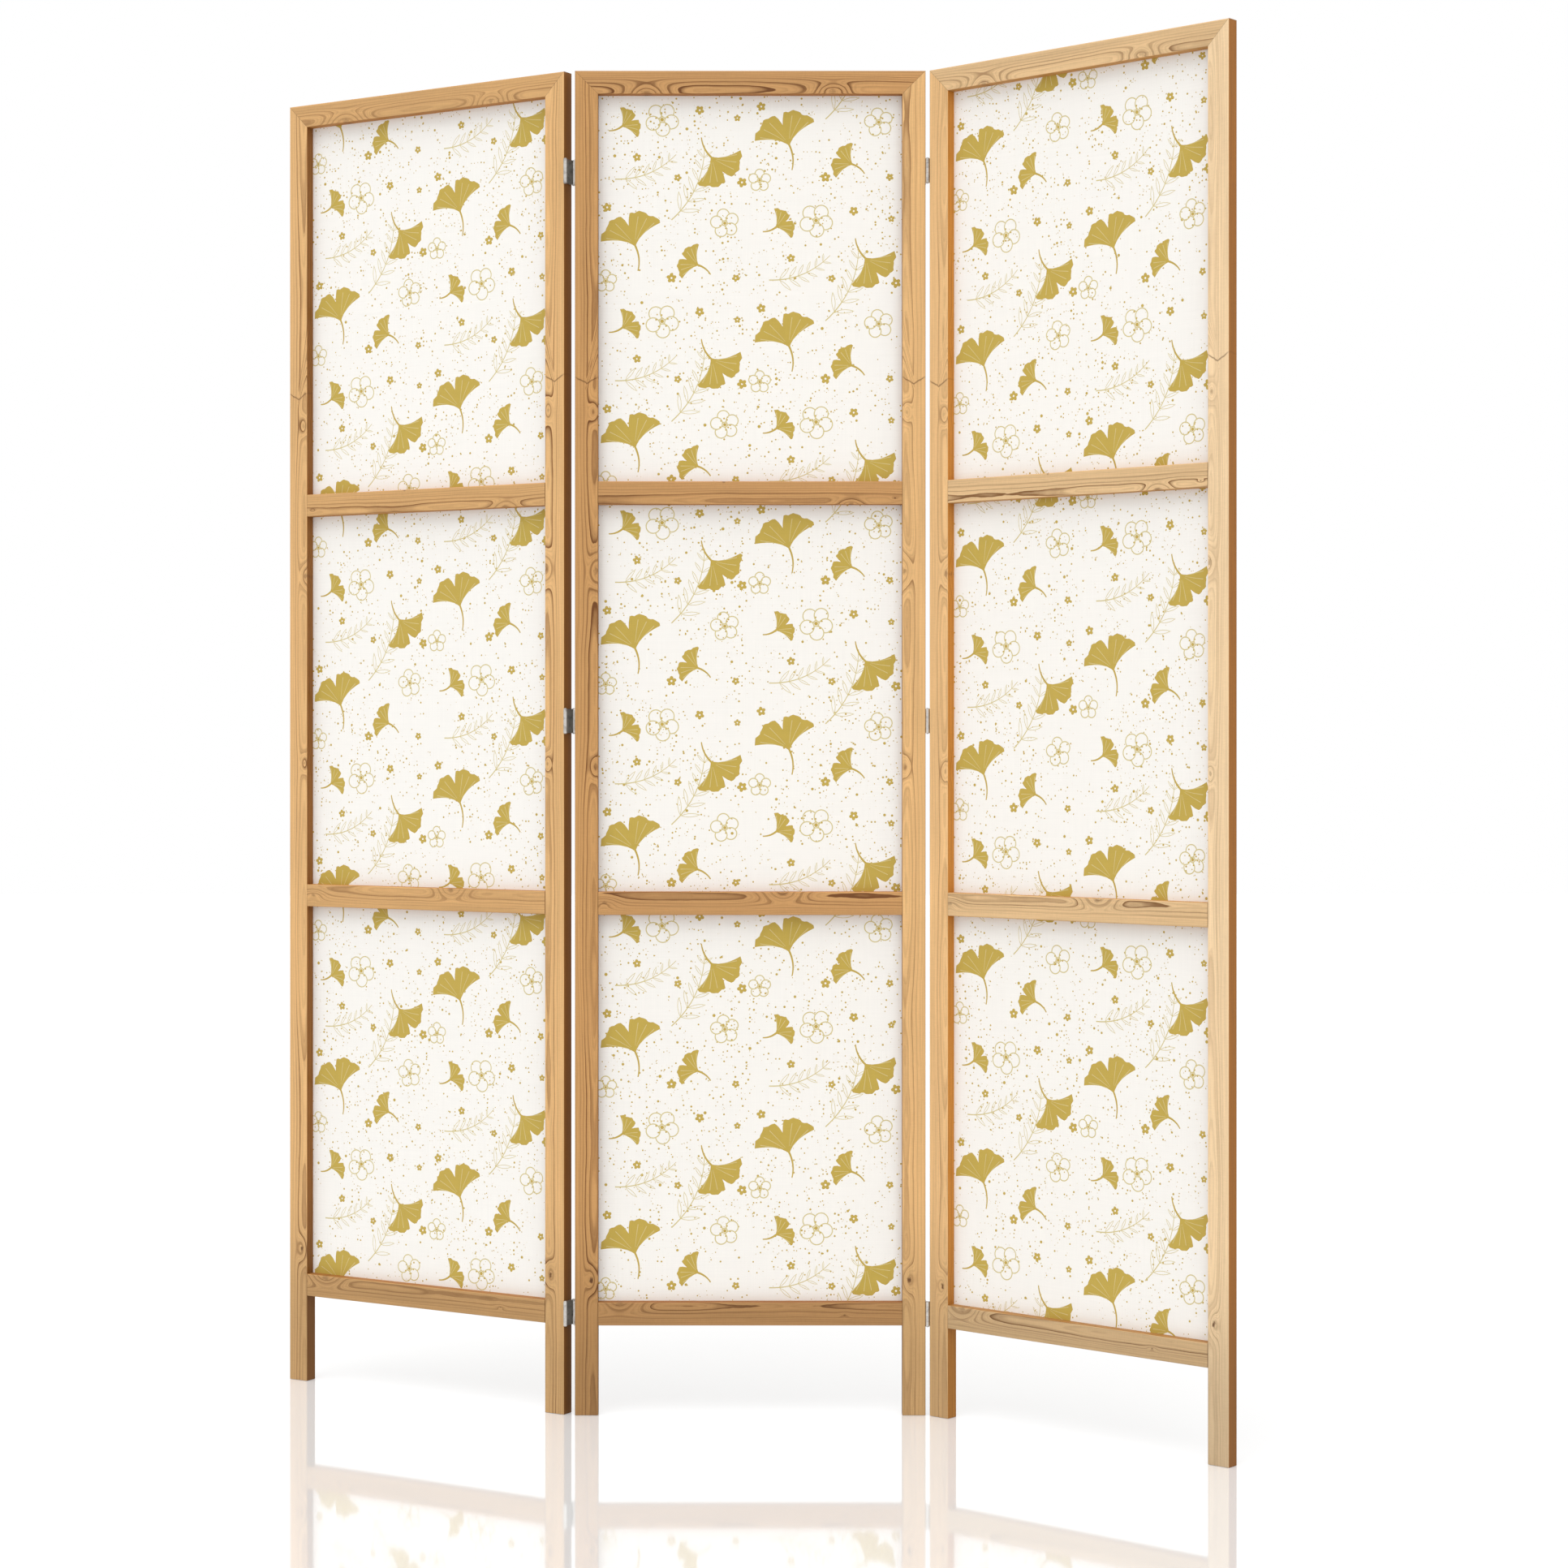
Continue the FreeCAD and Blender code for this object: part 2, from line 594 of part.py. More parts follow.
def make_pin():
    """A hinge pin along Z with a low domed head on each end, its middle at the origin."""
    body = new_body("Pin")
    profile = add_sketch(body, "Profile", "XZ_Plane")
    shank = "Sizes.pin_diameter / 2"
    head = "Sizes.pin_head_diameter / 2"
    seat = "(Sizes.hinge_height / 2 + Sizes.knuckle_gap)"
    rise = "Sizes.pin_head_height"
    dome = f"((pow({head}; 2) + pow({rise}; 2)) / (2 * {rise}))"
    crown = number(f"{seat} + {rise}")
    spread = math.degrees(math.asin(number(f"{head} / {dome}")))

    top = add_arc(profile, "0", f"{seat} + {rise} - {dome}", dome, 90 - spread, 90)
    bottom = add_arc(profile, "0", f"{dome} - {seat} - {rise}", dome, 270, 270 + spread)
    for arc, rim, tip in ((top, 1, 2), (bottom, 2, 1)):
        hold(profile, Sketcher.Constraint("DistanceX", -1, 1, arc, rim, number(head)), head)
        hold(profile, Sketcher.Constraint("DistanceX", -1, 1, arc, tip, 0), "0")
    axis = profile.addGeometry(Part.LineSegment(Vector(0, crown, 0), Vector(0, -crown, 0)))
    profile.addConstraint(Sketcher.Constraint("Coincident", axis, 1, top, 2))
    profile.addConstraint(Sketcher.Constraint("Coincident", axis, 2, bottom, 1))
    low = Vector(number(shank), -number(seat), 0)
    high = Vector(number(shank), number(seat), 0)
    side = profile.addGeometry(Part.LineSegment(low, high))
    hold_point(profile, side, 1, shank, f"-{seat}")
    hold_point(profile, side, 2, shank, seat)
    add_line(profile, bottom, 2, side, 1)
    add_line(profile, side, 2, top, 1)
    add_revolution(body, profile, "V_Axis")
    return body


# Placing: every piece is a named copy of a body above, put where its panel stands

nodes = {}


def place_on_panel(item, panel, across="0", up="0", half_turn=False):
    """Puts an item where its panel stands, at a distance across and up the panel's centre line."""
    fold = "0" if panel == "middle" else f"Sizes.{panel}_fold"
    panel_x = "0" if panel == "middle" else f"Sizes.{panel}_x"
    panel_y = "0" if panel == "middle" else f"Sizes.{panel}_y"
    turn = f"{180 if half_turn else 0} - {fold}"
    item.setExpression("Placement.Base.x", f"{panel_x} + ({across}) * cos({fold}) - Sizes.footprint_x")
    item.setExpression("Placement.Base.y", f"{panel_y} - ({across}) * sin({fold}) - Sizes.footprint_y")
    item.setExpression("Placement.Base.z", up)
    item.setExpression("Placement.Rotation.Angle", f"({turn}) * 1 deg")


def copy_of(body, name):
    copy = doc.addObject("App::Link", name)
    copy.LinkedObject = body
    return copy


def add_piece(name, body, panel, **place):
    """One piece in its own node."""
    piece = copy_of(body, name)
    place_on_panel(piece, panel, **place)
    nodes[name] = piece


def add_group(name, body, panel, places):
    """Identical pieces in one node, each at x, y, z of the panel and at an angle about one axis."""
    copies = []
    for x, y, z, turn in places:
        copy = copy_of(body, f"{name}_copy")
        copy.Placement = Placement(Vector(), turn)
        copy.setExpression("Placement.Base.x", x)
        copy.setExpression("Placement.Base.y", y)
        copy.setExpression("Placement.Base.z", z)
        copies.append(copy)
    group = doc.addObject("Part::Compound", name)
    group.Links = copies
    place_on_panel(group, panel)
    nodes[name] = group


def dowel_places():
    """Two dowels at each end of the three lower rails and one through each mitre."""
    places = []
    for side in (-1, 1):
        joint = signed(side, "Sizes.sight_width / 2")
        for rail in ("bottom", "lower", "upper"):
            for step in (-1, 1):
                height = f"Sizes.{rail}_rail_centre + {step} * Sizes.dowel_spacing / 2"
                places.append((joint, "Sizes.rail_axis", height, Rotation()))
        corner = signed(side, "Sizes.mitre_dowel_line")
        square_to_mitre = Rotation(Vector(0, 1, 0), 45 * side)
        places.append((corner, "Sizes.rail_axis", "Sizes.mitre_dowel_height", square_to_mitre))
    return places


def brad_places():
    """A row of brads down each side batten and along each end batten, driven from the back."""
    places = []
    back = "Sizes.frame_depth / 2"
    side_count = int(number("Sizes.brads_per_side"))
    end_count = int(number("Sizes.brads_per_end"))
    for side in (-1, 1):
        line = signed(side, "Sizes.batten_line")
        for index in range(side_count):
            share = f"({index} / (Sizes.brads_per_side - 1) - 0.5)"
            places.append((line, back, f"Sizes.rebate_middle + {share} * Sizes.side_brad_span", Rotation()))
    for height in END_BATTEN_HEIGHTS:
        for index in range(end_count):
            share = f"({index} / (Sizes.brads_per_end - 1) - 0.5)"
            places.append((f"{share} * Sizes.end_brad_span", back, height, Rotation()))
    return places


def add_panels():
    hinged = {
        "left": {-1: False, 1: True},
        "middle": {-1: True, 1: True},
        "right": {-1: True, 1: False},
    }
    sides = {-1: "left", 1: "right"}
    stiles = {(side, has): make_stile(side, has) for side in sides for has in (False, True)}
    top_rail = make_top_rail()
    cross_rail = make_cross_rail()
    bottom_rail = make_bottom_rail()
    fabric = make_fabric()
    side_batten = make_batten("side", "Sizes.batten_width", "Sizes.side_batten_length")
    end_batten = make_batten("end", "Sizes.end_batten_length", "Sizes.batten_width")
    dowel = make_dowel()
    brad = make_brad()
    side_lines = [signed(side, "Sizes.batten_line") for side in sides]
    side_places = [(line, "0", "Sizes.rebate_middle", Rotation()) for line in side_lines]
    end_places = [("0", "0", height, Rotation()) for height in END_BATTEN_HEIGHTS]
    for panel in PANELS:
        for side, side_name in sides.items():
            add_piece(f"{panel}_{side_name}_stile", stiles[side, hinged[panel][side]], panel)
        add_piece(f"{panel}_top_rail", top_rail, panel)
        add_piece(f"{panel}_upper_rail", cross_rail, panel, up="Sizes.upper_rail_centre")
        add_piece(f"{panel}_lower_rail", cross_rail, panel, up="Sizes.lower_rail_centre")
        add_piece(f"{panel}_bottom_rail", bottom_rail, panel, up="Sizes.bottom_rail_centre")
        add_piece(f"{panel}_fabric", fabric, panel)
        add_group(f"{panel}_side_battens", side_batten, panel, side_places)
        add_group(f"{panel}_end_battens", end_batten, panel, end_places)
        add_group(f"{panel}_dowels", dowel, panel, dowel_places())
        add_group(f"{panel}_brads", brad, panel, brad_places())


def add_hinges():
    """Three hinges on each line. The link lies shut on the outer panel and opens from the middle one."""
    leaf = make_leaf()
    link = make_link()
    pin = make_pin()
    screw = make_screw()
    # The side of its gap on which a panel lies: its leaf is turned to that side.
    lines = {
        "left": {"outer": ("left", -1), "inner": ("middle", 1)},
        "right": {"outer": ("right", 1), "inner": ("middle", -1)},
    }
    for line, leaves in lines.items():
        for which, (panel, gap_side) in leaves.items():
            across = signed(-gap_side, "Sizes.hinge_line")
            turned = gap_side > 0
            turn = Rotation(Vector(0, 0, 1), 180 if turned else 0)
            for level in HINGE_LEVELS:
                height = f"Sizes.{level}_hinge_height"
                name = f"{line}_{level}_hinge"
                add_piece(f"{name}_{which}_leaf", leaf, panel, across=across, up=height, half_turn=turned)
                if which == "outer":
                    add_piece(f"{name}_link", link, panel, across=across, up=height)
            pin_y = signed(gap_side, "Sizes.pin_line")
            heights = [f"Sizes.{level}_hinge_height" for level in HINGE_LEVELS]
            pin_places = [(across, pin_y, height, turn) for height in heights]
            add_group(f"{line}_hinge_{which}_pins", pin, panel, pin_places)
            head_x = f"{across} + {gap_side} * Sizes.bore_radius"
            screw_places = []
            for height in heights:
                for step in (-1, 1):
                    screw_height = f"{height} + {step} * Sizes.screw_spacing / 2"
                    screw_places.append((head_x, "0", screw_height, turn))
            add_group(f"{line}_hinge_{which}_screws", screw, panel, screw_places)


def check_document():
    """Stops before anything is written if an object failed or a piece has no sound shape."""
    for item in doc.Objects:
        if "Invalid" in item.State or "Error" in item.State:
            raise RuntimeError(f"{item.Label} did not compute: {item.State}")
    for name, piece in nodes.items():
        shape = Part.getShape(piece)
        if shape.isNull() or not shape.isValid() or not shape.Solids:
            raise RuntimeError(f"{name} has no sound shape")


fill_sheet()
add_panels()
add_hinges()
doc.recompute()
check_document()
os.makedirs("parts", exist_ok=True)
for node_name, node in nodes.items():
    Part.getShape(node).exportStep(f"parts/{node_name}.step")
print(f"{len(nodes)} nodes written")
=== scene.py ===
import math

import bmesh
import bpy
from mathutils import Euler, Matrix, Vector, geometry


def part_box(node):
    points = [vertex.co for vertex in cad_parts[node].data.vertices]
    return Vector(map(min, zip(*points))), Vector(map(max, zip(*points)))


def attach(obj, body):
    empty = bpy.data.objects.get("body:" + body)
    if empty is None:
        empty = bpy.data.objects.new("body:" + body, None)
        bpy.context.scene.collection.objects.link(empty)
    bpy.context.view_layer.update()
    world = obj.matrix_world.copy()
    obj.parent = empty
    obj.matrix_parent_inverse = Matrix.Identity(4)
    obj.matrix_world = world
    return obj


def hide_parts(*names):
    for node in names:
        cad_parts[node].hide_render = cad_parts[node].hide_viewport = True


# The looks of a room screen of three framed cloth panels, in metres. The frame gives every piece its
# place; this script adds the wood, metal and cloth, the printed sheets, the floor, light and camera.

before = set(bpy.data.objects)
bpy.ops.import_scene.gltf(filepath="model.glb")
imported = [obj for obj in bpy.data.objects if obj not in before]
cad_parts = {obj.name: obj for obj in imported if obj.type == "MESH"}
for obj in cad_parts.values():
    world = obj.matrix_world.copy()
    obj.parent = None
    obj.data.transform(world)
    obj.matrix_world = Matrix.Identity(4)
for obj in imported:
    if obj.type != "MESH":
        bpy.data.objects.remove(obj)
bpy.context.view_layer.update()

PANELS = ("left", "middle", "right")
UP = Vector((0, 0, 1))

# Photograph: its size in pixels, and the camera that fits the middle panel in it
PHOTO_SIDE = 1932
FOCAL_PIXELS = 3920
CAMERA_DISTANCE = 4.055
CAMERA_HEIGHT = 0.854
PANEL_LEFT_OF_CENTRE_PIXELS = 41.6
PANEL_ABOVE_CENTRE_PIXELS = 49.6
SENSOR_WIDTH = 36

# Colours, linear
EARLY_WOOD = (0.755, 0.455, 0.195)
LATE_WOOD = (0.215, 0.085, 0.022)
KNOT_WOOD = (0.15, 0.058, 0.018)
SIDE_SHADE_TINT = (0.37, 0.24, 0.09)
RAIL_SIDE_SHADE_TINT = (0.72, 0.52, 0.26)
BEECH = (0.62, 0.40, 0.22)
NICKEL = (0.62, 0.60, 0.57)
STEEL = (0.56, 0.56, 0.56)
CLOTH_GROUND = (0.945, 0.92, 0.875)
GOLD_INK = (0.545, 0.39, 0.075)
PALE_INK = (0.66, 0.56, 0.26)
CLOTH_BACK = (0.86, 0.825, 0.77)
BACK_GHOST = (0.77, 0.71, 0.57)
WHITE = (1, 1, 1)


# Places, read from the frame

class Panel:
    """Where one panel stands: its foot centre and the directions across it and towards its back."""

    def __init__(self, name):
        self.name = name
        left, right = (self.middle_of(f"{name}_{side}_stile") for side in ("left", "right"))
        self.across = (right - left).normalized()
        self.back = UP.cross(self.across)
        self.foot = (left + right) / 2
        self.foot.z = 0

    @staticmethod
    def middle_of(node):
        low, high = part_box(node)
        return (low + high) / 2

    def point(self, across, back, up):
        """The point at those distances from the foot centre."""
        return self.foot + self.across * across + self.back * back + UP * up

    def reach(self, node):
        """Lowest and highest distances across, back and up that a node has from the foot centre."""
        axes = (self.across, self.back, UP)
        places = [vertex.co - self.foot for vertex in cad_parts[node].data.vertices]
        spans = [[place.dot(axis) for place in places] for axis in axes]
        return [min(span) for span in spans], [max(span) for span in spans]

    def matrix(self):
        turn = Matrix((self.across, self.back, UP)).transposed().to_4x4()
        return Matrix.Translation(self.foot) @ turn


# Shader building: a Field is a number that varies over a surface, and operators on it add nodes

class Field:
    def __init__(self, tree, socket):
        self.tree = tree
        self.socket = socket

    def math(self, operation, *others):
        node = self.tree.nodes.new("ShaderNodeMath")
        node.operation = operation
        feed(self.tree, node.inputs[0], self)
        for place, other in enumerate(others, start=1):
            feed(self.tree, node.inputs[place], other)
        return Field(self.tree, node.outputs[0])

    def __add__(self, other):
        return self.math("ADD", other)

    def __sub__(self, other):
        return self.math("SUBTRACT", other)

    def __mul__(self, other):
        return self.math("MULTIPLY", other)

    def __truediv__(self, other):
        return self.math("DIVIDE", other)

    def __neg__(self):
        return self.math("MULTIPLY", -1)

    __radd__ = __add__

    def __rsub__(self, other):
        return (-self).math("ADD", other)

    def squared(self):
        return self.math("MULTIPLY", self)

    def size(self):
        return self.math("ABSOLUTE")

    def bell(self):
        """One where the field is zero, falling away on both sides."""
        return (-self.squared()).math("EXPONENT")

    def at_least(self, least):
        """The field squeezed from its range of 0 to 1 into one that starts at least."""
        return self * (1 - least) + least

    def rise(self, low, high):
        """Zero up to low, one from high on and smooth between. With high under low it falls instead."""
        node = self.tree.nodes.new("ShaderNodeMapRange")
        node.interpolation_type = "SMOOTHSTEP"
        for name, number in (("Value", self), ("From Min", low), ("From Max", high)):
            feed(self.tree, node.inputs[name], number)
        return Field(self.tree, node.outputs[0])


def feed(tree, socket, value):
    """Links a field or a socket into an input, or sets a plain value there."""
    if isinstance(value, Field):
        tree.links.new(value.socket, socket)
    elif isinstance(value, bpy.types.NodeSocket):
        tree.links.new(value, socket)
    elif socket.type == "RGBA":
        socket.default_value = (*value, 1)
    else:
        socket.default_value = value


class Surface:
    """A material and short ways to add its nodes."""

    def __init__(self, name):
        self.material = bpy.data.materials.new(name)
        self.material.use_nodes = True
        self.tree = self.material.node_tree
        self.shader = self.tree.nodes["Principled BSDF"]
        self.place = self.tree.nodes.new("ShaderNodeTexCoord")

    def set(self, **values):
        for name, value in values.items():
            feed(self.tree, self.shader.inputs[name.replace("_", " ")], value)

    def vector(self, operation, first, second):
        node = self.tree.nodes.new("ShaderNodeVectorMath")
        node.operation = operation
        feed(self.tree, node.inputs[0], first)
        feed(self.tree, node.inputs["Scale" if operation == "SCALE" else 1], second)
        return node

    def along(self, direction, origin=(0, 0, 0)):
        """How far a point of the surface lies from an origin along a direction."""
        offset = self.vector("SUBTRACT", self.place.outputs["Object"], tuple(origin))
        distance = self.vector("DOT_PRODUCT", offset.outputs[0], tuple(direction))
        return Field(self.tree, distance.outputs["Value"])

    def coordinates(self):
        """The three places of a point of the surface: across, back and up."""
        return [self.along(axis) for axis in ((1, 0, 0), (0, 1, 0), (0, 0, 1))]

    def facing(self, direction):
        """One where the surface faces along a direction or against it, zero where it lies along it."""
        node = self.vector("DOT_PRODUCT", self.place.outputs["Normal"], tuple(direction))
        return Field(self.tree, node.outputs["Value"]).size()

    def joined(self, x, y, z):
        """A vector of three fields or numbers."""
        join = self.tree.nodes.new("ShaderNodeCombineXYZ")
        for socket, value in zip(join.inputs, (x, y, z)):
            feed(self.tree, socket, value)
        return join.outputs[0]

    def noise(self, x, y, z, detail=2.0):
        """Smooth noise from 0 to 1 at coordinates that are fields; one unit is about one blotch."""
        node = self.tree.nodes.new("ShaderNodeTexNoise")
        node.inputs["Scale"].default_value = 1
        node.inputs["Detail"].default_value = detail
        feed(self.tree, node.inputs["Vector"], self.joined(x, y, z))
        return Field(self.tree, node.outputs["Fac"])

    def chance(self, field):
        """An even random number from 0 to 1 for each value of a field."""
        node = self.tree.nodes.new("ShaderNodeTexWhiteNoise")
        node.noise_dimensions = "1D"
        feed(self.tree, node.inputs["W"], field)
        return Field(self.tree, node.outputs["Value"])

    def mix(self, share, first, second):
        node = self.tree.nodes.new("ShaderNodeMix")
        node.data_type = "RGBA"
        feed(self.tree, node.inputs["Factor"], share)
        feed(self.tree, node.inputs[6], first)
        feed(self.tree, node.inputs[7], second)
        return node.outputs[2]

    def scaled(self, colour, field):
        return self.vector("SCALE", colour, field).outputs[0]

    def tinted(self, colour, tint):
        return self.vector("MULTIPLY", colour, tint).outputs[0]

    def bump(self, height, depth, strength):
        node = self.tree.nodes.new("ShaderNodeBump")
        node.inputs["Distance"].default_value = depth
        node.inputs["Strength"].default_value = strength
        feed(self.tree, node.inputs["Height"], height)
        self.tree.links.new(node.outputs[0], self.shader.inputs["Normal"])


# Pine: rings round a heart that runs just in front of the face near the inner edge, now closer and now
# farther, so that they come up as long pointed loops there and as straight lines beside them. They bow
# round knots.

# Width of a year's ring, and how unevenly the years follow each other
STILE_RING = 0.0031
RAIL_RING = 0.0024
UNEVEN_SCALE = 200
UNEVEN_RINGS = 1.5
# The heart: how far it lies out from the inner edge and ahead of the face, and how far it strays
HEART_OUT = 0.005
HEART_AHEAD = 0.007
HEART_DIVE = 0.016
HEART_SWAY = 0.010
# How far the rings wander, in long waves and in short ripples
WAVE = 0.0022
RIPPLE = 0.0007
# Late wood: the part of a ring where it begins and ends, and how weak the weakest ring is
LATE_START = (0.50, 0.92)
LATE_END = (1.0, 0.95)
WEAKEST_RING = 0.3
# The figure fades away from the inner edge and in patches
FIGURED_REACH = (0.027, 0.012)
FIGURE_BEYOND = 0.25
PATCH_RISE = (0.25, 0.65)
FIGURE_IN_PATCH = 0.55
# Fine lines between the rings: how many to a ring, where one begins and ends, and how dark they are
FINE_LINES = 3.3
FINE_START = (0.35, 0.85)
FINE_END = (1.0, 0.9)
FINE_DARKNESS = 0.16
# A knot, in its own sizes: how far it bows the rings, how far the bow reaches, and the shape of its core
KNOT_PUSH = 1.2
KNOT_REACH_ALONG = 3.6
KNOT_REACH_OUT = 1.5
KNOT_FLATNESS = 0.6
KNOT_RIM = (0.95, 0.25)
KNOT_RAGGED = 1.6
# A spike, a branch cut lengthwise: it bows the rings along a slope and ends in a dark pointed mark
SPIKE_PUSH = 0.0075
SPIKE_SLOPE = 4.2
SPIKE_WIDENING = 1.3
SPIKE_TIP = 0.004
SPIKE_FADE = 0.003
MARK_RISE = 0.6
MARK_WIDTH = 0.0010
MARK_REACH = (0.017, 0.0102)
MARK_RAGGED = 0.004
MARK_DARKNESS = 0.75
# Scales of the noises in wood, in blotches for each metre along the grain and across it
SWAY_SCALE = 2.6
DIVE_SCALE = 2.4
WAVE_SCALES = (10, 26)
RIPPLE_SCALES = (34, 140)
RAGGED_SCALES = (230, 330)
PATCH_SCALES = (5, 30)
FIBRE_SCALES = (22, 700)
STREAK_SCALES = (5, 330)
FLECK_SCALES = (60, 1300)
SAWN_SCALES = (620, 110)
CLOUD_SCALES = (4, 70)
FLECK_RISE = (0.64, 0.78)
# How much each of these lightens or darkens the wood, from the least light on
LEAST_LIGHT = 0.53
FIBRE_LIGHT = 0.24
STREAK_LIGHT = 0.26
CLOUD_LIGHT = 0.32
SAWN_LIGHT = 0.12
FLECK_DARKNESS = 0.14
# Roughness, and the relief of the surface
WOOD_ROUGHNESS = 0.50
FIBRE_ROUGHNESS = 0.16
LINE_ROUGHNESS = 0.10
WOOD_SPECULAR = 0.3
FIBRE_RELIEF = 0.35
LINE_RELIEF = 0.7
SAWN_RELIEF = 0.15
FLECK_RELIEF = 0.25
WOOD_RELIEF = 0.0004
WOOD_BUMP = 0.35
# Side faces: own deeper colour plus painted shade; worn pale edges; painted shade at the feet; dark joint
# lines
SIDE_TURN = (0.35, 0.85)
WORN_EDGE = (0.0022, 0.0002)
WORN_LIGHT = 0.05
FEET_SHADE_RISE = (0.30, 0.05)
FEET_SHADE = 0.30
JOINT_LINE = 0.0007
JOINT_DARKNESS = 0.4
PLAIN = (1.0, 1.0, 1.0)


class Board:
    """A wooden piece's own directions: along its grain, outward from its inner edge, and front to back."""

    def __init__(self, origin, along, outward, back, width):
        self.origin = origin
        self.along = along
        self.outward = outward
        self.back = back
        self.width = width


class Grain:
    """The fields of a board: how far a point lies along it, out from its inner edge and back from its
    face, and what is drawn from these."""

    def __init__(self, surface, board, seed):
        self.surface = surface
        self.seed = seed
        self.along = surface.along(board.along, board.origin)
        self.out = surface.along(board.outward, board.origin)
        self.back = surface.along(board.back, board.origin)
        self.ripple = self.noise(RIPPLE_SCALES) - 0.5
        self.ragged = (self.noise(RAGGED_SCALES) - 0.5) * KNOT_RAGGED

    def noise(self, scales, seeded=True, detail=2.0):
        """Noise drawn out along the grain."""
        lengthwise, crosswise = scales
        shift = self.seed if seeded else 0.0
        places = (self.along * lengthwise + shift, self.out * crosswise, self.back * crosswise)
        return self.surface.noise(*places, detail)

    def stray(self, scale, draw):
        """Slow noise along the board alone. Each draw gives another."""
        return self.surface.noise(self.along * scale + self.seed, self.seed, draw, detail=1.0)

    def to_heart(self):
        """The distance to the heart, with the wander of the rings."""
        aside = self.out - HEART_OUT + (self.stray(SWAY_SCALE, 4.0) - 0.5) * HEART_SWAY
        ahead = self.back + HEART_AHEAD + self.stray(DIVE_SCALE, 9.0) * HEART_DIVE
        wave = self.noise(WAVE_SCALES, detail=1.0) - 0.5
        return (aside.squared() + ahead.squared()).math("SQRT") + wave * WAVE + self.ripple * RIPPLE

    def knot(self, knot_along, knot_out, size, darkness):
        """How far a knot bows the rings, and how dark the wood is at its core."""
        near_along = self.along - knot_along
        near_out = self.out - knot_out
        bow = (near_along / (KNOT_REACH_ALONG * size)).bell() * (near_out / (KNOT_REACH_OUT * size)).bell()
        squares = (near_along / size).squared() + (near_out / (KNOT_FLATNESS * size)).squared()
        core = (squares.math("SQRT") + self.ragged).rise(*KNOT_RIM)
        return bow * (KNOT_PUSH * size), core * darkness

    def spike(self, tip_along, tip_out):
        """How far a spike bows the rings, and how dark the mark at its tip is."""
        above = self.along - tip_along
        inside = tip_out - self.out
        width = inside.math("MAXIMUM", 0) * SPIKE_WIDENING + SPIKE_TIP
        bow = ((above - inside * SPIKE_SLOPE) / width).bell() * inside.rise(-SPIKE_FADE, SPIKE_FADE)
        from_tip = inside.size()
        mark = ((above - from_tip * MARK_RISE + self.ripple * MARK_RAGGED) / MARK_WIDTH).bell()
        return bow * SPIKE_PUSH, mark * from_tip.rise(*MARK_REACH) * MARK_DARKNESS

    def lines(self, to_heart, ring, figure):
        """One on the dark late wood of the rings, zero on the pale early wood."""
        uneven = self.surface.noise(to_heart * UNEVEN_SCALE + self.seed, 0.0, self.seed, detail=0.0)
        phase = to_heart / ring + uneven * UNEVEN_RINGS
        turn = phase.math("FRACT")
        late = turn.rise(*LATE_START) * turn.rise(*LATE_END)
        strong = self.surface.chance(phase.math("FLOOR")).squared().at_least(WEAKEST_RING)
        near_edge = self.out.rise(*FIGURED_REACH).at_least(FIGURE_BEYOND)
        patchy = self.noise(PATCH_SCALES).rise(*PATCH_RISE).at_least(FIGURE_IN_PATCH)
        fine_turn = (phase * FINE_LINES).math("FRACT")
        fine = fine_turn.rise(*FINE_START) * fine_turn.rise(*FINE_END) * FINE_DARKNESS
        return (late * strong * near_edge * patchy * figure + fine).math("MINIMUM", 1)


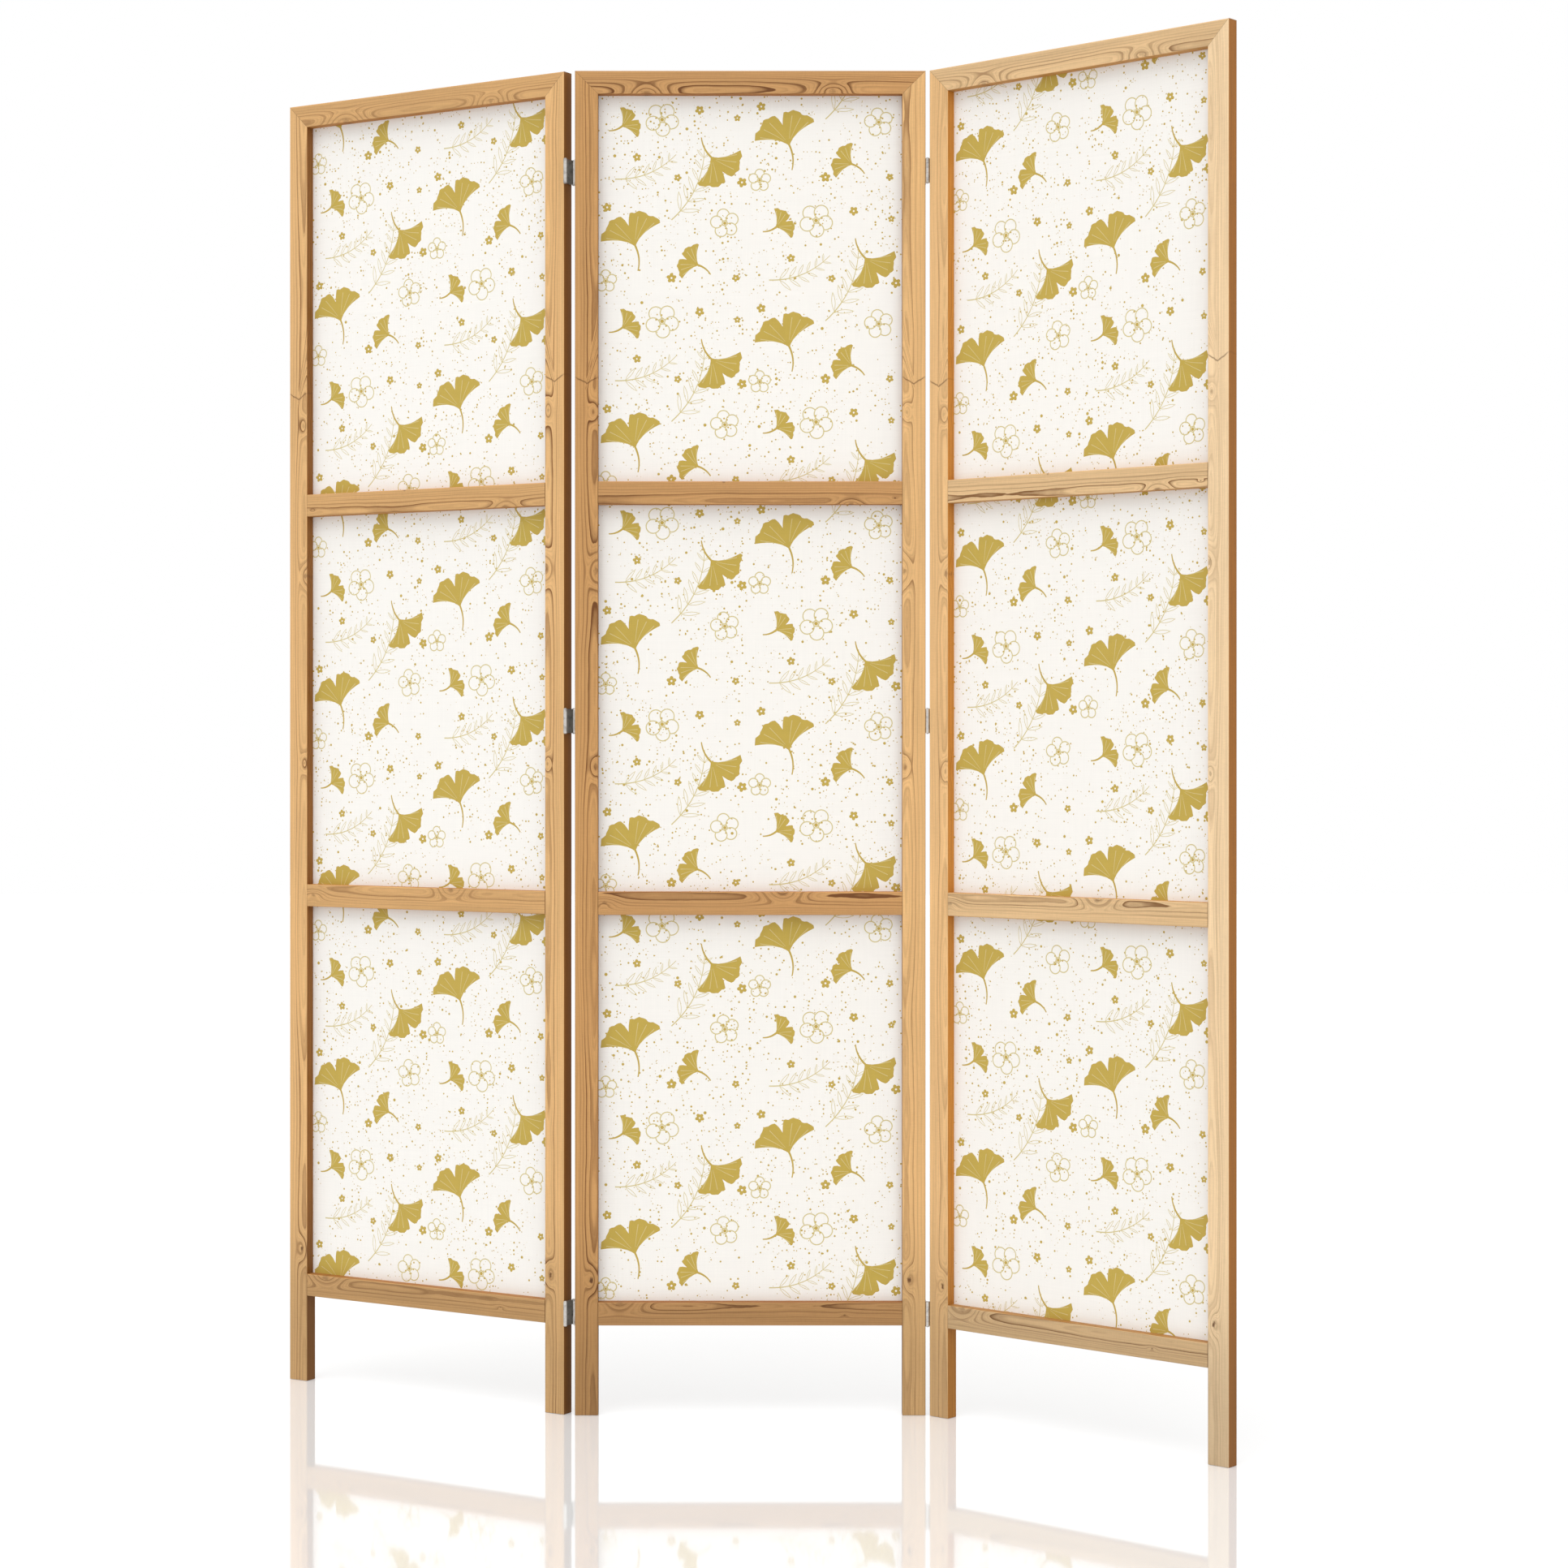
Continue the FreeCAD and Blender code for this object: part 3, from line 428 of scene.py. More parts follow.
def pine(
    name,
    board,
    ring,
    knots=(),
    spikes=(),
    tint=PLAIN,
    side_shade_tint=SIDE_SHADE_TINT,
    figure=1.0,
    seed=0.0,
    joint=None,
):
    """Sawn pine. A knot is a place along the board, one out from its inner edge, a size and how dark its
    core is. A spike is the place of its tip. Figure is how strongly the rings show. Joint gives the
    distance to the board's end as a field, from the fields along and out, for the line drawn there."""
    surface = Surface(name)
    grain = Grain(surface, board, seed)
    to_heart = grain.to_heart()
    core = 0.0
    for bow, dark in [grain.knot(*knot) for knot in knots] + [grain.spike(*spike) for spike in spikes]:
        to_heart = to_heart + bow
        core = dark.math("MAXIMUM", core)
    line = grain.lines(to_heart, ring, figure)
    colour = surface.mix(line, EARLY_WOOD, LATE_WOOD)
    colour = surface.mix(core, colour, KNOT_WOOD)
    # The board tint is the board's own tone together with painted light and shade
    colour = surface.tinted(colour, tint)
    # Side faces get a deeper colour of their own, darkened further as painted shade
    sides = 1 - surface.facing(board.back).rise(*SIDE_TURN)
    colour = surface.mix(sides, colour, surface.tinted(colour, side_shade_tint))

    fibre = grain.noise(FIBRE_SCALES, seeded=False, detail=3.0)
    streak = grain.noise(STREAK_SCALES)
    fleck = grain.noise(FLECK_SCALES, detail=1.0).rise(*FLECK_RISE)
    sawn = grain.noise(SAWN_SCALES, seeded=False)
    cloud = grain.noise(CLOUD_SCALES)
    shade = LEAST_LIGHT + fibre * FIBRE_LIGHT + streak * STREAK_LIGHT + cloud * CLOUD_LIGHT
    shade = shade + sawn * SAWN_LIGHT - fleck * FLECK_DARKNESS
    half = board.width / 2
    edge = (grain.out - half).size().rise(*(half - inset for inset in WORN_EDGE))
    # Painted shade: the wood darkens towards the floor
    feet = surface.along(UP).rise(*FEET_SHADE_RISE)
    shade = shade * (1 + edge * WORN_LIGHT) * (1 - feet * FEET_SHADE)
    if joint is not None:
        shade = shade * (1 - joint(grain.along, grain.out).rise(JOINT_LINE, 0.0) * JOINT_DARKNESS)

    surface.set(Base_Color=surface.scaled(colour, shade), Specular_IOR_Level=WOOD_SPECULAR)
    surface.set(Roughness=WOOD_ROUGHNESS + fibre * FIBRE_ROUGHNESS + line * LINE_ROUGHNESS)
    relief = fibre * FIBRE_RELIEF + line * LINE_RELIEF + sawn * SAWN_RELIEF - fleck * FLECK_RELIEF
    surface.bump(relief, WOOD_RELIEF, WOOD_BUMP)
    return surface.material


# Metal and small wood

# Fine drawn lines: how many to a metre across them, and how much fewer along them
NICKEL_LINES = 900
STEEL_LINES = 1400
DRAWN_OUT = 0.08
DRAWN_LIGHT = 0.12
DRAWN_ROUGHNESS = 0.12
TARNISH_SCALE = 140
TARNISH_RISE = (0.45, 0.75)
TARNISH_DARKNESS = 0.42
TARNISH_ROUGHNESS = 0.14
METAL_LIGHT = 0.93
METAL_ROUGHNESS = 0.34
METAL_RELIEF = 0.0001
# Flecks in the dowel rod, in blotches for each metre along it and across it
ROD_FLECK_SCALES = (300, 900)
ROD_FLECK_RISE = (0.55, 0.75)
ROD_FLECK_DARKNESS = 0.25
ROD_ROUGHNESS = 0.6
ROD_FLECK_ROUGHNESS = 0.1
ROD_RELIEF = 0.0002
SMALL_PART_BUMP = 0.2


def metal(name, colour, lines):
    """Plated or bright steel: fine drawn lines and blotches of tarnish."""
    surface = Surface(name)
    x, y, z = surface.coordinates()
    drawn = surface.noise(x * lines, y * lines, z * (lines * DRAWN_OUT), detail=3.0)
    blotches = surface.noise(x * TARNISH_SCALE, y * TARNISH_SCALE, z * TARNISH_SCALE, detail=3.0)
    tarnish = blotches.rise(*TARNISH_RISE)
    shade = METAL_LIGHT + drawn * DRAWN_LIGHT - tarnish * TARNISH_DARKNESS
    surface.set(Base_Color=surface.scaled(colour, shade), Metallic=1.0)
    surface.set(Roughness=METAL_ROUGHNESS + drawn * DRAWN_ROUGHNESS + tarnish * TARNISH_ROUGHNESS)
    surface.bump(drawn, METAL_RELIEF, SMALL_PART_BUMP)
    return surface.material


def beech(name):
    """Dowel rod with short dark flecks."""
    surface = Surface(name)
    x, y, z = surface.coordinates()
    lengthwise, crosswise = ROD_FLECK_SCALES
    fleck = surface.noise(x * lengthwise, y * crosswise, z * crosswise).rise(*ROD_FLECK_RISE)
    surface.set(Base_Color=surface.scaled(BEECH, 1 - fleck * ROD_FLECK_DARKNESS))
    surface.set(Roughness=ROD_ROUGHNESS + fleck * ROD_FLECK_ROUGHNESS)
    surface.bump(fleck, ROD_RELIEF, SMALL_PART_BUMP)
    return surface.material


# Cloth: a plain weave with uneven yarns, printed on its front

YARN_PITCH = 0.0006
# Thick yarns and uneven ink: blotches for each metre along a yarn, across it, and of the ink
YARN_SCALES = (14, 1100)
INK_SCALE = 60
CLOTH_LIGHT = 0.985
SLUB_LIGHT = 0.07
SHEEN = 0.08
SHEEN_ROUGHNESS = 0.5
CLOTH_SPECULAR = 0.25
CROSSING_RELIEF = 0.6
SLUB_RELIEF = 0.5
CLOTH_RELIEF = 0.00025
CLOTH_BUMP = 0.3
# Printed dust: spacing of the dots and the largest radius as a share of it
DUST = ((0.0047, 0.34), (0.0115, 0.21))
SMALLEST_DOT = 0.35
DOT_EDGE = 0.7
# Drifts of dust: blotches for each metre across and up, and where a drift thins out and is full
DRIFT_SCALES = (21, 15)
DRIFT_RISE = (0.28, 0.58)
DRIFT_DRAWS = 1000


def dust(surface, across, up, spacing, largest):
    """One inside printed dots of many sizes, which lie in loose drifts."""
    cells = surface.tree.nodes.new("ShaderNodeTexVoronoi")
    cells.inputs["Scale"].default_value = 1
    feed(surface.tree, cells.inputs["Vector"], surface.joined(across / spacing, up / spacing, 0.0))
    parts = surface.tree.nodes.new("ShaderNodeSeparateColor")
    feed(surface.tree, parts.inputs["Color"], cells.outputs["Color"])
    size_draw = Field(surface.tree, parts.outputs["Red"])
    place_draw = Field(surface.tree, parts.outputs["Green"])
    drift_across, drift_up = DRIFT_SCALES
    drift = surface.noise(across * drift_across, up * drift_up, spacing * DRIFT_DRAWS).rise(*DRIFT_RISE)
    radius = size_draw.squared().at_least(SMALLEST_DOT) * largest
    inside = Field(surface.tree, cells.outputs["Distance"]).rise(radius, radius * DOT_EDGE)
    return inside * place_draw.math("LESS_THAN", drift)


def cloth(name, colour, ink_unevenness, roughness, dusted=False):
    """One colour of the printed cloth. The yarns run across and up the panel."""
    surface = Surface(name)
    across = surface.along((1, 0, 0))
    up = surface.along((0, 0, 1))
    yarn_turn = math.pi / YARN_PITCH
    crossing = (across * yarn_turn).math("SINE") * (up * yarn_turn).math("SINE")
    along_yarn, across_yarn = YARN_SCALES
    thick_weft = surface.noise(across * along_yarn, up * across_yarn, 0.0)
    thick_warp = surface.noise(across * across_yarn, up * along_yarn, 3.0)
    slub = thick_weft + thick_warp
    patch = surface.noise(across * INK_SCALE, up * INK_SCALE, 5.0, detail=3.0)
    shade = CLOTH_LIGHT + (slub - 1) * SLUB_LIGHT + (patch - 0.5) * ink_unevenness
    if dusted:
        for spacing, largest in DUST:
            colour = surface.mix(dust(surface, across, up, spacing, largest), colour, GOLD_INK)
    surface.set(Base_Color=surface.scaled(colour, shade), Roughness=roughness)
    surface.set(Sheen_Weight=SHEEN, Sheen_Roughness=SHEEN_ROUGHNESS, Specular_IOR_Level=CLOTH_SPECULAR)
    surface.bump(crossing.size() * CROSSING_RELIEF + slub * SLUB_RELIEF, CLOTH_RELIEF, CLOTH_BUMP)
    return surface.material


# The print: fan leaves, leafy sprigs, open and small blossoms, in a half-drop repeat.
# A shape is an ink and an outline in millimetres; later shapes lie over earlier ones.

INKS = ("ground", "gold", "pale")
# Inner points of each cut window across and up, and how close points may lie before they are one
GRID_ACROSS = 7
GRID_UP = 5
CUT_CLOSENESS = 1e-4
SEAM_CLOSENESS = 2e-6
# The cutting keeps what lies inside outlines, and the first outline is the window's
FILL_OUTLINES = 1
WINDOW_OUTLINE = 0
# The repeat: how often it fits across and up a sheet, its size, and the width of a drawn line
REPEAT_COLUMNS = 2
REPEAT_ROWS = 6
REPEAT_WIDTH = 196.5
REPEAT_HEIGHT = 257.2
LINE = 1.4

# Leaf, sprig or blossom: across and up in the repeat, size, turn in degrees
FAN_LEAVES = ((50, 62, 46, 18), (146, 177, 40, -142), (131, 38, 28, 64), (32, 215, 25, -60))
SPRIGS = ((96, 96, 104, -24), (24, 148, 84, -68))
OPEN_BLOSSOMS = ((164, 92, 19, 10), (84, 224, 22, 40), (12, 18, 15, 0))
SMALL_BLOSSOMS = (
    (96, 22, 6.5, 0),
    (178, 22, 5, 30),
    (14, 112, 6, 12),
    (104, 150, 5, 50),
    (186, 144, 6.5, 24),
    (52, 176, 5.5, 8),
    (132, 236, 6, 33),
    (180, 226, 4.5, 0),
)


def polar(radius, turn):
    """A point at a radius, at an angle from straight up."""
    return Vector((radius * math.sin(turn), radius * math.cos(turn)))


def bend(start, pull, end, steps):
    """Points of a curve from start to end that leans towards pull."""
    points = []
    for step in range(steps + 1):
        share = step / steps
        points.append(start * (1 - share) ** 2 + pull * (2 * share * (1 - share)) + end * share ** 2)
    return points


def ribbon(points, first_width, last_width):
    """The outline of a band along points, from one width to another."""
    left = []
    right = []
    last = len(points) - 1
    for index, point in enumerate(points):
        ahead = points[min(index + 1, last)] - points[max(index - 1, 0)]
        side = Vector((-ahead.y, ahead.x)).normalized()
        half = (first_width + (last_width - first_width) * index / last) / 2
        left.append(point + side * half)
        right.append(point - side * half)
    return left + right[::-1]


def circle(centre, radius, steps):
    return [centre + polar(radius, 2 * math.pi * step / steps) for step in range(steps)]


# Fan leaf, in shares of its size: half its spread, its rim, the cleft and waves in the rim as height,
# count and start, the pull of its hollow sides, its veins' places and ends, and its stem
FAN_SPREAD = math.radians(64)
FAN_STEPS = 32
FAN_RIM = 0.97
CLEFT_DEPTH = 0.40
CLEFT_WIDTH = 0.085
RIM_WAVES = ((0.030, 13, 0), (0.014, 29, 1))
FAN_PULL_ASIDE = 0.24
FAN_PULL_UP = 0.34
FAN_SIDE_STEPS = 7
FAN_VEINS = (-0.88, -0.62, -0.36, 0.36, 0.62, 0.88)
VEIN_POINTS = ((0.20, 0.7), (0.5, 0.88), (0.84, 1))
VEIN_STEPS = 2
VEIN_WIDTHS = (0.35, 0.9)
FAN_STEM = ((0, 0.05), (0.06, -0.34), (-0.14, -0.66))
FAN_STEM_STEPS = 8
FAN_STEM_WIDTHS = (2.6, 1.5)


def fan_leaf(size):
    """A fan with hollow sides, a waved rim with a cleft, fine veins and a stem."""
    rim = []
    for step in range(FAN_STEPS + 1):
        turn = FAN_SPREAD * (2 * step / FAN_STEPS - 1)
        cleft = CLEFT_DEPTH * math.exp(-(turn / CLEFT_WIDTH) ** 2)
        wave = sum(height * math.cos(count * turn + start) for height, count, start in RIM_WAVES)
        rim.append(polar(size * (FAN_RIM - cleft + wave), turn))
    base = Vector((0, 0))
    left_pull = Vector((-FAN_PULL_ASIDE, FAN_PULL_UP)) * size
    right_pull = Vector((FAN_PULL_ASIDE, FAN_PULL_UP)) * size
    left_side = bend(base, left_pull, rim[0], FAN_SIDE_STEPS)[:-1]
    right_side = bend(rim[-1], right_pull, base, FAN_SIDE_STEPS)[1:-1]
    stem = bend(*(Vector(point) * size for point in FAN_STEM), FAN_STEM_STEPS)
    shapes = [("gold", ribbon(stem, *FAN_STEM_WIDTHS)), ("gold", left_side + rim + right_side)]
    for vein in FAN_VEINS:
        turn = FAN_SPREAD * vein
        line = bend(*(polar(reach * size, turn * lean) for reach, lean in VEIN_POINTS), VEIN_STEPS)
        shapes.append(("pale", ribbon(line, *VEIN_WIDTHS)))
    return shapes


# Sprig, in shares of its length: its bow, and the leaves' length at its root and how it shrinks upward;
# a leaf in shares of its own length: its fullness and how far the bare inside stays from its ends
SPRIG_BOW = 0.22
SPRIG_STEPS = 14
SPRIG_WIDTHS = (1.5, 0.8)
LEAF_TURN = math.radians(46)
LEAF_LENGTH = 0.27
LEAF_SHRINK = 0.011
LEAF_FULLNESS = 0.20
LEAF_INSIDE = 0.08
LEAF_STEPS = 5


def narrow_leaf(root, tip, heading, fullness, inset):
    """The outline of a pointed leaf from root to tip, drawn in at both ends by a share of its length."""
    start = root.lerp(tip, inset)
    finish = tip.lerp(root, inset)
    bulge = polar(fullness, heading + math.pi / 2)
    centre = (start + finish) / 2
    outer = bend(start, centre + bulge, finish, LEAF_STEPS)
    inner = bend(finish, centre - bulge, start, LEAF_STEPS)
    return outer[:-1] + inner[:-1]


def sprig(size):
    """A bowed stem with outlined narrow leaves on both sides."""
    stem = bend(Vector((0, 0)), Vector((SPRIG_BOW, 0.5)) * size, Vector((0, 1)) * size, SPRIG_STEPS)
    shapes = [("pale", ribbon(stem, *SPRIG_WIDTHS))]
    for place in range(2, SPRIG_STEPS, 2):
        ahead = stem[place + 1] - stem[place - 1]
        length = size * (LEAF_LENGTH - LEAF_SHRINK * place)
        root = stem[place]
        for side in (-1, 1):
            heading = math.atan2(ahead.x, ahead.y) + side * LEAF_TURN
            tip = root + polar(length, heading)
            fullness = length * LEAF_FULLNESS
            shapes.append(("pale", narrow_leaf(root, tip, heading, fullness, 0.0)))
            shapes.append(("ground", narrow_leaf(root, tip, heading, fullness - LINE, LEAF_INSIDE)))
    return shapes


# Blossoms, in shares of their size: the open one's petals and stamens, and the small one's rim and centre
PETALS = 5
PETAL_OUT = 0.56
PETAL_RADIUS = 0.44
PETAL_STEPS = 18
STAMEN_ENDS = (0.10, 0.34)
STAMEN_WIDTH = 0.6
STAMEN_TIP_OUT = 0.36
STAMEN_TIP_RADIUS = 0.055
STAMEN_TIP_STEPS = 6
BLOSSOM_HEART = 0.11
BLOSSOM_HEART_STEPS = 10
SMALL_NOTCH = 0.62
SMALL_STEPS = 30
SMALL_CENTRE = 0.22
SMALL_CENTRE_STEPS = 6


def open_blossom(size):
    """Five outlined round petals round a ring of small dots."""
    shapes = []
    for petal in range(PETALS):
        centre = polar(PETAL_OUT * size, 2 * math.pi * petal / PETALS)
        shapes.append(("pale", circle(centre, PETAL_RADIUS * size, PETAL_STEPS)))
        shapes.append(("ground", circle(centre, PETAL_RADIUS * size - LINE, PETAL_STEPS)))
    for stamen in range(PETALS):
        turn = 2 * math.pi * (stamen + 0.5) / PETALS
        thread = [polar(end * size, turn) for end in STAMEN_ENDS]
        tip = polar(STAMEN_TIP_OUT * size, turn)
        shapes.append(("pale", ribbon(thread, STAMEN_WIDTH, STAMEN_WIDTH)))
        shapes.append(("gold", circle(tip, STAMEN_TIP_RADIUS * size, STAMEN_TIP_STEPS)))
    shapes.append(("gold", circle(Vector((0, 0)), BLOSSOM_HEART * size, BLOSSOM_HEART_STEPS)))
    return shapes


def small_blossom(size):
    """Five solid petals with a bare centre."""
    rim = []
    for step in range(SMALL_STEPS):
        turn = 2 * math.pi * step / SMALL_STEPS
        petal = abs(math.cos(PETALS / 2 * turn))
        rim.append(polar(size * (SMALL_NOTCH + (1 - SMALL_NOTCH) * petal), turn))
    return [("gold", rim), ("ground", circle(Vector((0, 0)), SMALL_CENTRE * size, SMALL_CENTRE_STEPS))]


def repeat_shapes():
    """All the shapes of one repeat, thin lines first and solid leaves over them."""
    shapes = []
    for make, places in (
        (sprig, SPRIGS),
        (open_blossom, OPEN_BLOSSOMS),
        (fan_leaf, FAN_LEAVES),
        (small_blossom, SMALL_BLOSSOMS),
    ):
        for across, up, size, degrees in places:
            turn = Matrix.Rotation(math.radians(degrees), 2)
            for ink, outline in make(size):
                shapes.append((ink, [turn @ point + Vector((across, up)) for point in outline]))
    return [(ink, leftward(outline)) for ink, outline in shapes]


def leftward(outline):
    """The outline in the order that turns left, which the cutting needs."""
    turned = sum(here.cross(there) for here, there in zip(outline, outline[1:] + outline[:1]))
    return outline if turned > 0 else outline[::-1]


def shapes_in_window(low, high, cell):
    """The shapes of the endless half-drop repeat that touch a window of it."""
    laid = []
    for column in range(-1, REPEAT_COLUMNS + 1):
        drop = REPEAT_HEIGHT / 2 * (column % 2)
        for row in range(-2, 3):
            corner = Vector((column * REPEAT_WIDTH, row * REPEAT_HEIGHT + drop))
            for ink, outline in cell:
                points = [point + corner for point in outline]
                touches_across = max(p.x for p in points) > low.x and min(p.x for p in points) < high.x
                touches_up = max(p.y for p in points) > low.y and min(p.y for p in points) < high.y
                if touches_across and touches_up:
                    laid.append((ink, points))
    return laid


def cut_window(low, high, cell):
    """A window of the repeat cut into triangles along its shapes: their corners from low, and their ink."""
    shapes = [("ground", [low, Vector((high.x, low.y)), high, Vector((low.x, high.y))])]
    shapes += shapes_in_window(low, high, cell)
    points = []
    loops = []
    for _, outline in shapes:
        loops.append(list(range(len(points), len(points) + len(outline))))
        points += outline
    for column in range(GRID_ACROSS):
        for row in range(GRID_UP):
            share = Vector(((column + 0.5) / GRID_ACROSS, (row + 0.5) / GRID_UP))
            points.append(low + share * (high - low))
    cut = geometry.delaunay_2d_cdt(points, [], loops, FILL_OUTLINES, CUT_CLOSENESS)
    flat, _, triangles, _, _, sources = cut
    return [
        ([flat[corner] - low for corner in corners], INKS.index(shapes[max(source)][0]))
        for corners, source in zip(triangles, sources)
        if WINDOW_OUTLINE in source
    ]


def printed_face(width, height, start, cell):
    """A whole sheet cut along its print, from the two halves of the repeat, as a mesh in its plane."""
    half = Vector((REPEAT_WIDTH, REPEAT_HEIGHT / 2))
    halves = []
    for step in (0, 1):
        low = Vector((0, start + step * half.y))
        halves.append(cut_window(low, low + half, cell))
    stretch = Vector((width / REPEAT_COLUMNS / half.x, height / (2 * REPEAT_ROWS) / half.y))
    face_mesh = bmesh.new()
    for column in range(REPEAT_COLUMNS):
        for row in range(2 * REPEAT_ROWS):
            corner = Vector((column * half.x, row * half.y))
            for corners, ink in halves[(row + column) % 2]:
                places = [(point + corner) * stretch for point in corners]
                face = face_mesh.faces.new([face_mesh.verts.new((p.x - width / 2, p.y, 0)) for p in places])
                face.material_index = ink
    bmesh.ops.remove_doubles(face_mesh, verts=face_mesh.verts, dist=SEAM_CLOSENESS)
    face_mesh.verts.index_update()
    return face_mesh


# The sheets: each is cut along its print, so that the ink is faces of the cloth

# How far the cloth gives in the middle of a field, and how far it stays inside its plain solid
SLACK = 0.0012
CLEAR = 0.00004
# How far up the repeat each panel's print begins, in millimetres
PRINT_START = {"left": 70, "middle": 0, "right": 160}


def slack_of(panel):
    """How far back a panel's cloth gives, for a place across and up: a little in each field, and nothing
    behind the rails."""
    rails = [panel.reach(f"{panel.name}_{rail}_rail") for rail in ("bottom", "lower", "upper", "top")]
    fields = [(below[1][2], above[0][2]) for below, above in zip(rails, rails[1:])]
    sight = panel.reach(f"{panel.name}_upper_rail")[1][0]

    def slack_at(across, up):
        side = max(0.0, math.cos(math.pi / 2 * min(1, abs(across) / sight)))
        for bottom, top in fields:
            if bottom < up < top:
                return SLACK * side * math.sin(math.pi * (up - bottom) / (top - bottom))
        return 0.0

    return slack_at


def sheet_mesh(name, printed, place_of, materials):
    """A closed sheet from its printed face, with a back that shows a ghost of the print and a cut edge.
    Place_of gives the place of a point of the face on the front (0) or the back (1) of the sheet."""
    count = len(printed.verts)
    verts = [place_of(vert.co, side) for side in (0, 1) for vert in printed.verts]
    ground = 0
    faces = []
    slots = []
    for face in printed.faces:
        corners = [vert.index for vert in face.verts]
        faces.append(corners)
        slots.append(face.material_index)
        faces.append([corner + count for corner in reversed(corners)])
        slots.append(len(INKS) + min(face.material_index, 1))
    for edge in printed.edges:
        if edge.is_boundary:
            loop = edge.link_loops[0]
            start = loop.vert.index
            end = loop.link_loop_next.vert.index
            faces.append((end, start, start + count, end + count))
            slots.append(ground)
    mesh = bpy.data.meshes.new(name)
    mesh.from_pydata(verts, [], faces)
    for material in materials:
        mesh.materials.append(material)
    mesh.polygons.foreach_set("material_index", slots)
    mesh.update()
    return mesh


def stretched_sheet(panel, cell, materials):
    """The cloth of one panel, in the place of its plain solid."""
    low, high = panel.reach(f"{panel.name}_fabric")
    width = high[0] - low[0]
    height = high[2] - low[2]
    slack_at = slack_of(panel)
    depths = (low[1] + CLEAR, high[1] - CLEAR)

    def place_of(flat, side):
        up = flat.y + low[2]
        return flat.x, depths[side] + slack_at(flat.x, up), up

    name = f"{panel.name}_cloth"
    printed = printed_face(width, height, PRINT_START[panel.name], cell)
    sheet = bpy.data.objects.new(name, sheet_mesh(name, printed, place_of, materials))
    printed.free()
    bpy.context.scene.collection.objects.link(sheet)
    sheet.matrix_world = panel.matrix()
    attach(sheet, f"{panel.name}_panel")
    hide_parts(f"{panel.name}_fabric")


# Wood of each panel

# Knots: along the board (up a stile from the floor, across a rail from its middle), out from its
# inner edge, size and how dark the core is
STILE_KNOTS = (
    (0.172, 0.0085, 0.0055, 0.95),
    (0.824, 0.0040, 0.0042, 0.40),
    (1.074, 0.0025, 0.0065, 0.50),
    (1.276, 0.0055, 0.0044, 0.25),
)
# Where the tips of lengthwise cut branches lie: up the stile and out from its inner edge
STILE_SPIKES = ((1.312, 0.0145),)
RAIL_KNOTS = {
    "top": ((-0.132, 0.0015, 0.0085, 0.35), (0.105, 0.0040, 0.0070, 0.30)),
    "upper": ((-0.034, 0.0285, 0.0030, 0.50), (0.128, 0.0010, 0.0050, 0.40)),
    "lower": ((-0.186, 0.0140, 0.0050, 0.40), (0.041, 0.0025, 0.0070, 0.35)),
    "bottom": ((-0.166, 0.0025, 0.0080, 0.35), (0.120, 0.0160, 0.0020, 0.60)),
}
# A pin knot near one end of each upper rail, and how far each panel's knots are shifted
PIN_KNOT_OUT = 0.0080
PIN_KNOT_SIZE = 0.0014
PIN_KNOT_DARKNESS = 1.0
PIN_KNOT = {"left": -0.184, "middle": 0.184, "right": 0.184}
KNOT_SHIFT = {"left": 0.004, "middle": 0.0, "right": -0.005}
# The rails whose inner, figured edge is the lower one
FIGURED_BELOW = ("top", "upper")
# How the colour of single boards differs from that of most: partly their own tone, partly painted light and
# shade
BOARD_TONE_AND_SHADE = {
    "left_rail": (0.86, 0.83, 0.79),
    "middle_left_stile": (0.77, 0.68, 0.57),
    "middle_right_stile": (1.03, 1.05, 1.06),
    "middle_rail": (0.75, 0.67, 0.59),
    "right_left_stile": (1.06, 1.11, 1.20),
    "right_right_stile": (1.15, 1.40, 1.95),
    "right_rail": (0.97, 1.09, 1.33),
}
# How the side faces of single stiles are coloured: their own deeper colour and painted shade
STILE_SIDE_SHADE_TINT = {
    "right_left_stile": (0.74, 0.47, 0.135),
    "right_right_stile": (0.42, 0.216, 0.051),
}
# How strongly the rings show on single boards, where most have 1
BOARD_FIGURE = {
    "middle_left_stile": 1.25,
    "middle_right_stile": 0.65,
    "middle_top_rail": 1.6,
    "right_left_stile": 0.55,
    "right_right_stile": 0.45,
}
# Steps between the noise of one panel, or rail, and that of the next
STILE_SEED = 11.3
RAIL_SEED = 17.9
RAIL_SEED_STEP = 3.7
BATTEN_SEED = 5.1


def dress(node, material):
    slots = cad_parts[node].data.materials
    slots.clear()
    slots.append(material)


def shifted(knots, panel):
    return [(along + KNOT_SHIFT[panel.name], *rest) for along, *rest in knots]


def dress_stiles(panel, seed):
    for side, sign in (("left", -1), ("right", 1)):
        node = f"{panel.name}_{side}_stile"
        low, high = panel.reach(node)
        inner = high[0] if sign < 0 else low[0]
        width = high[0] - low[0]
        mitre_start = high[2] - width
        board = Board(panel.point(inner, low[1], 0), UP, panel.across * sign, panel.back, width)
        wood = pine(
            f"pine_{node}",
            board,
            STILE_RING,
            shifted(STILE_KNOTS, panel),
            shifted(STILE_SPIKES, panel),
            BOARD_TONE_AND_SHADE.get(node, PLAIN),
            STILE_SIDE_SHADE_TINT.get(node, SIDE_SHADE_TINT),
            BOARD_FIGURE.get(node, 1.0),
            seed + sign,
            joint=lambda along, out: out + mitre_start - along,
        )
        dress(node, wood)


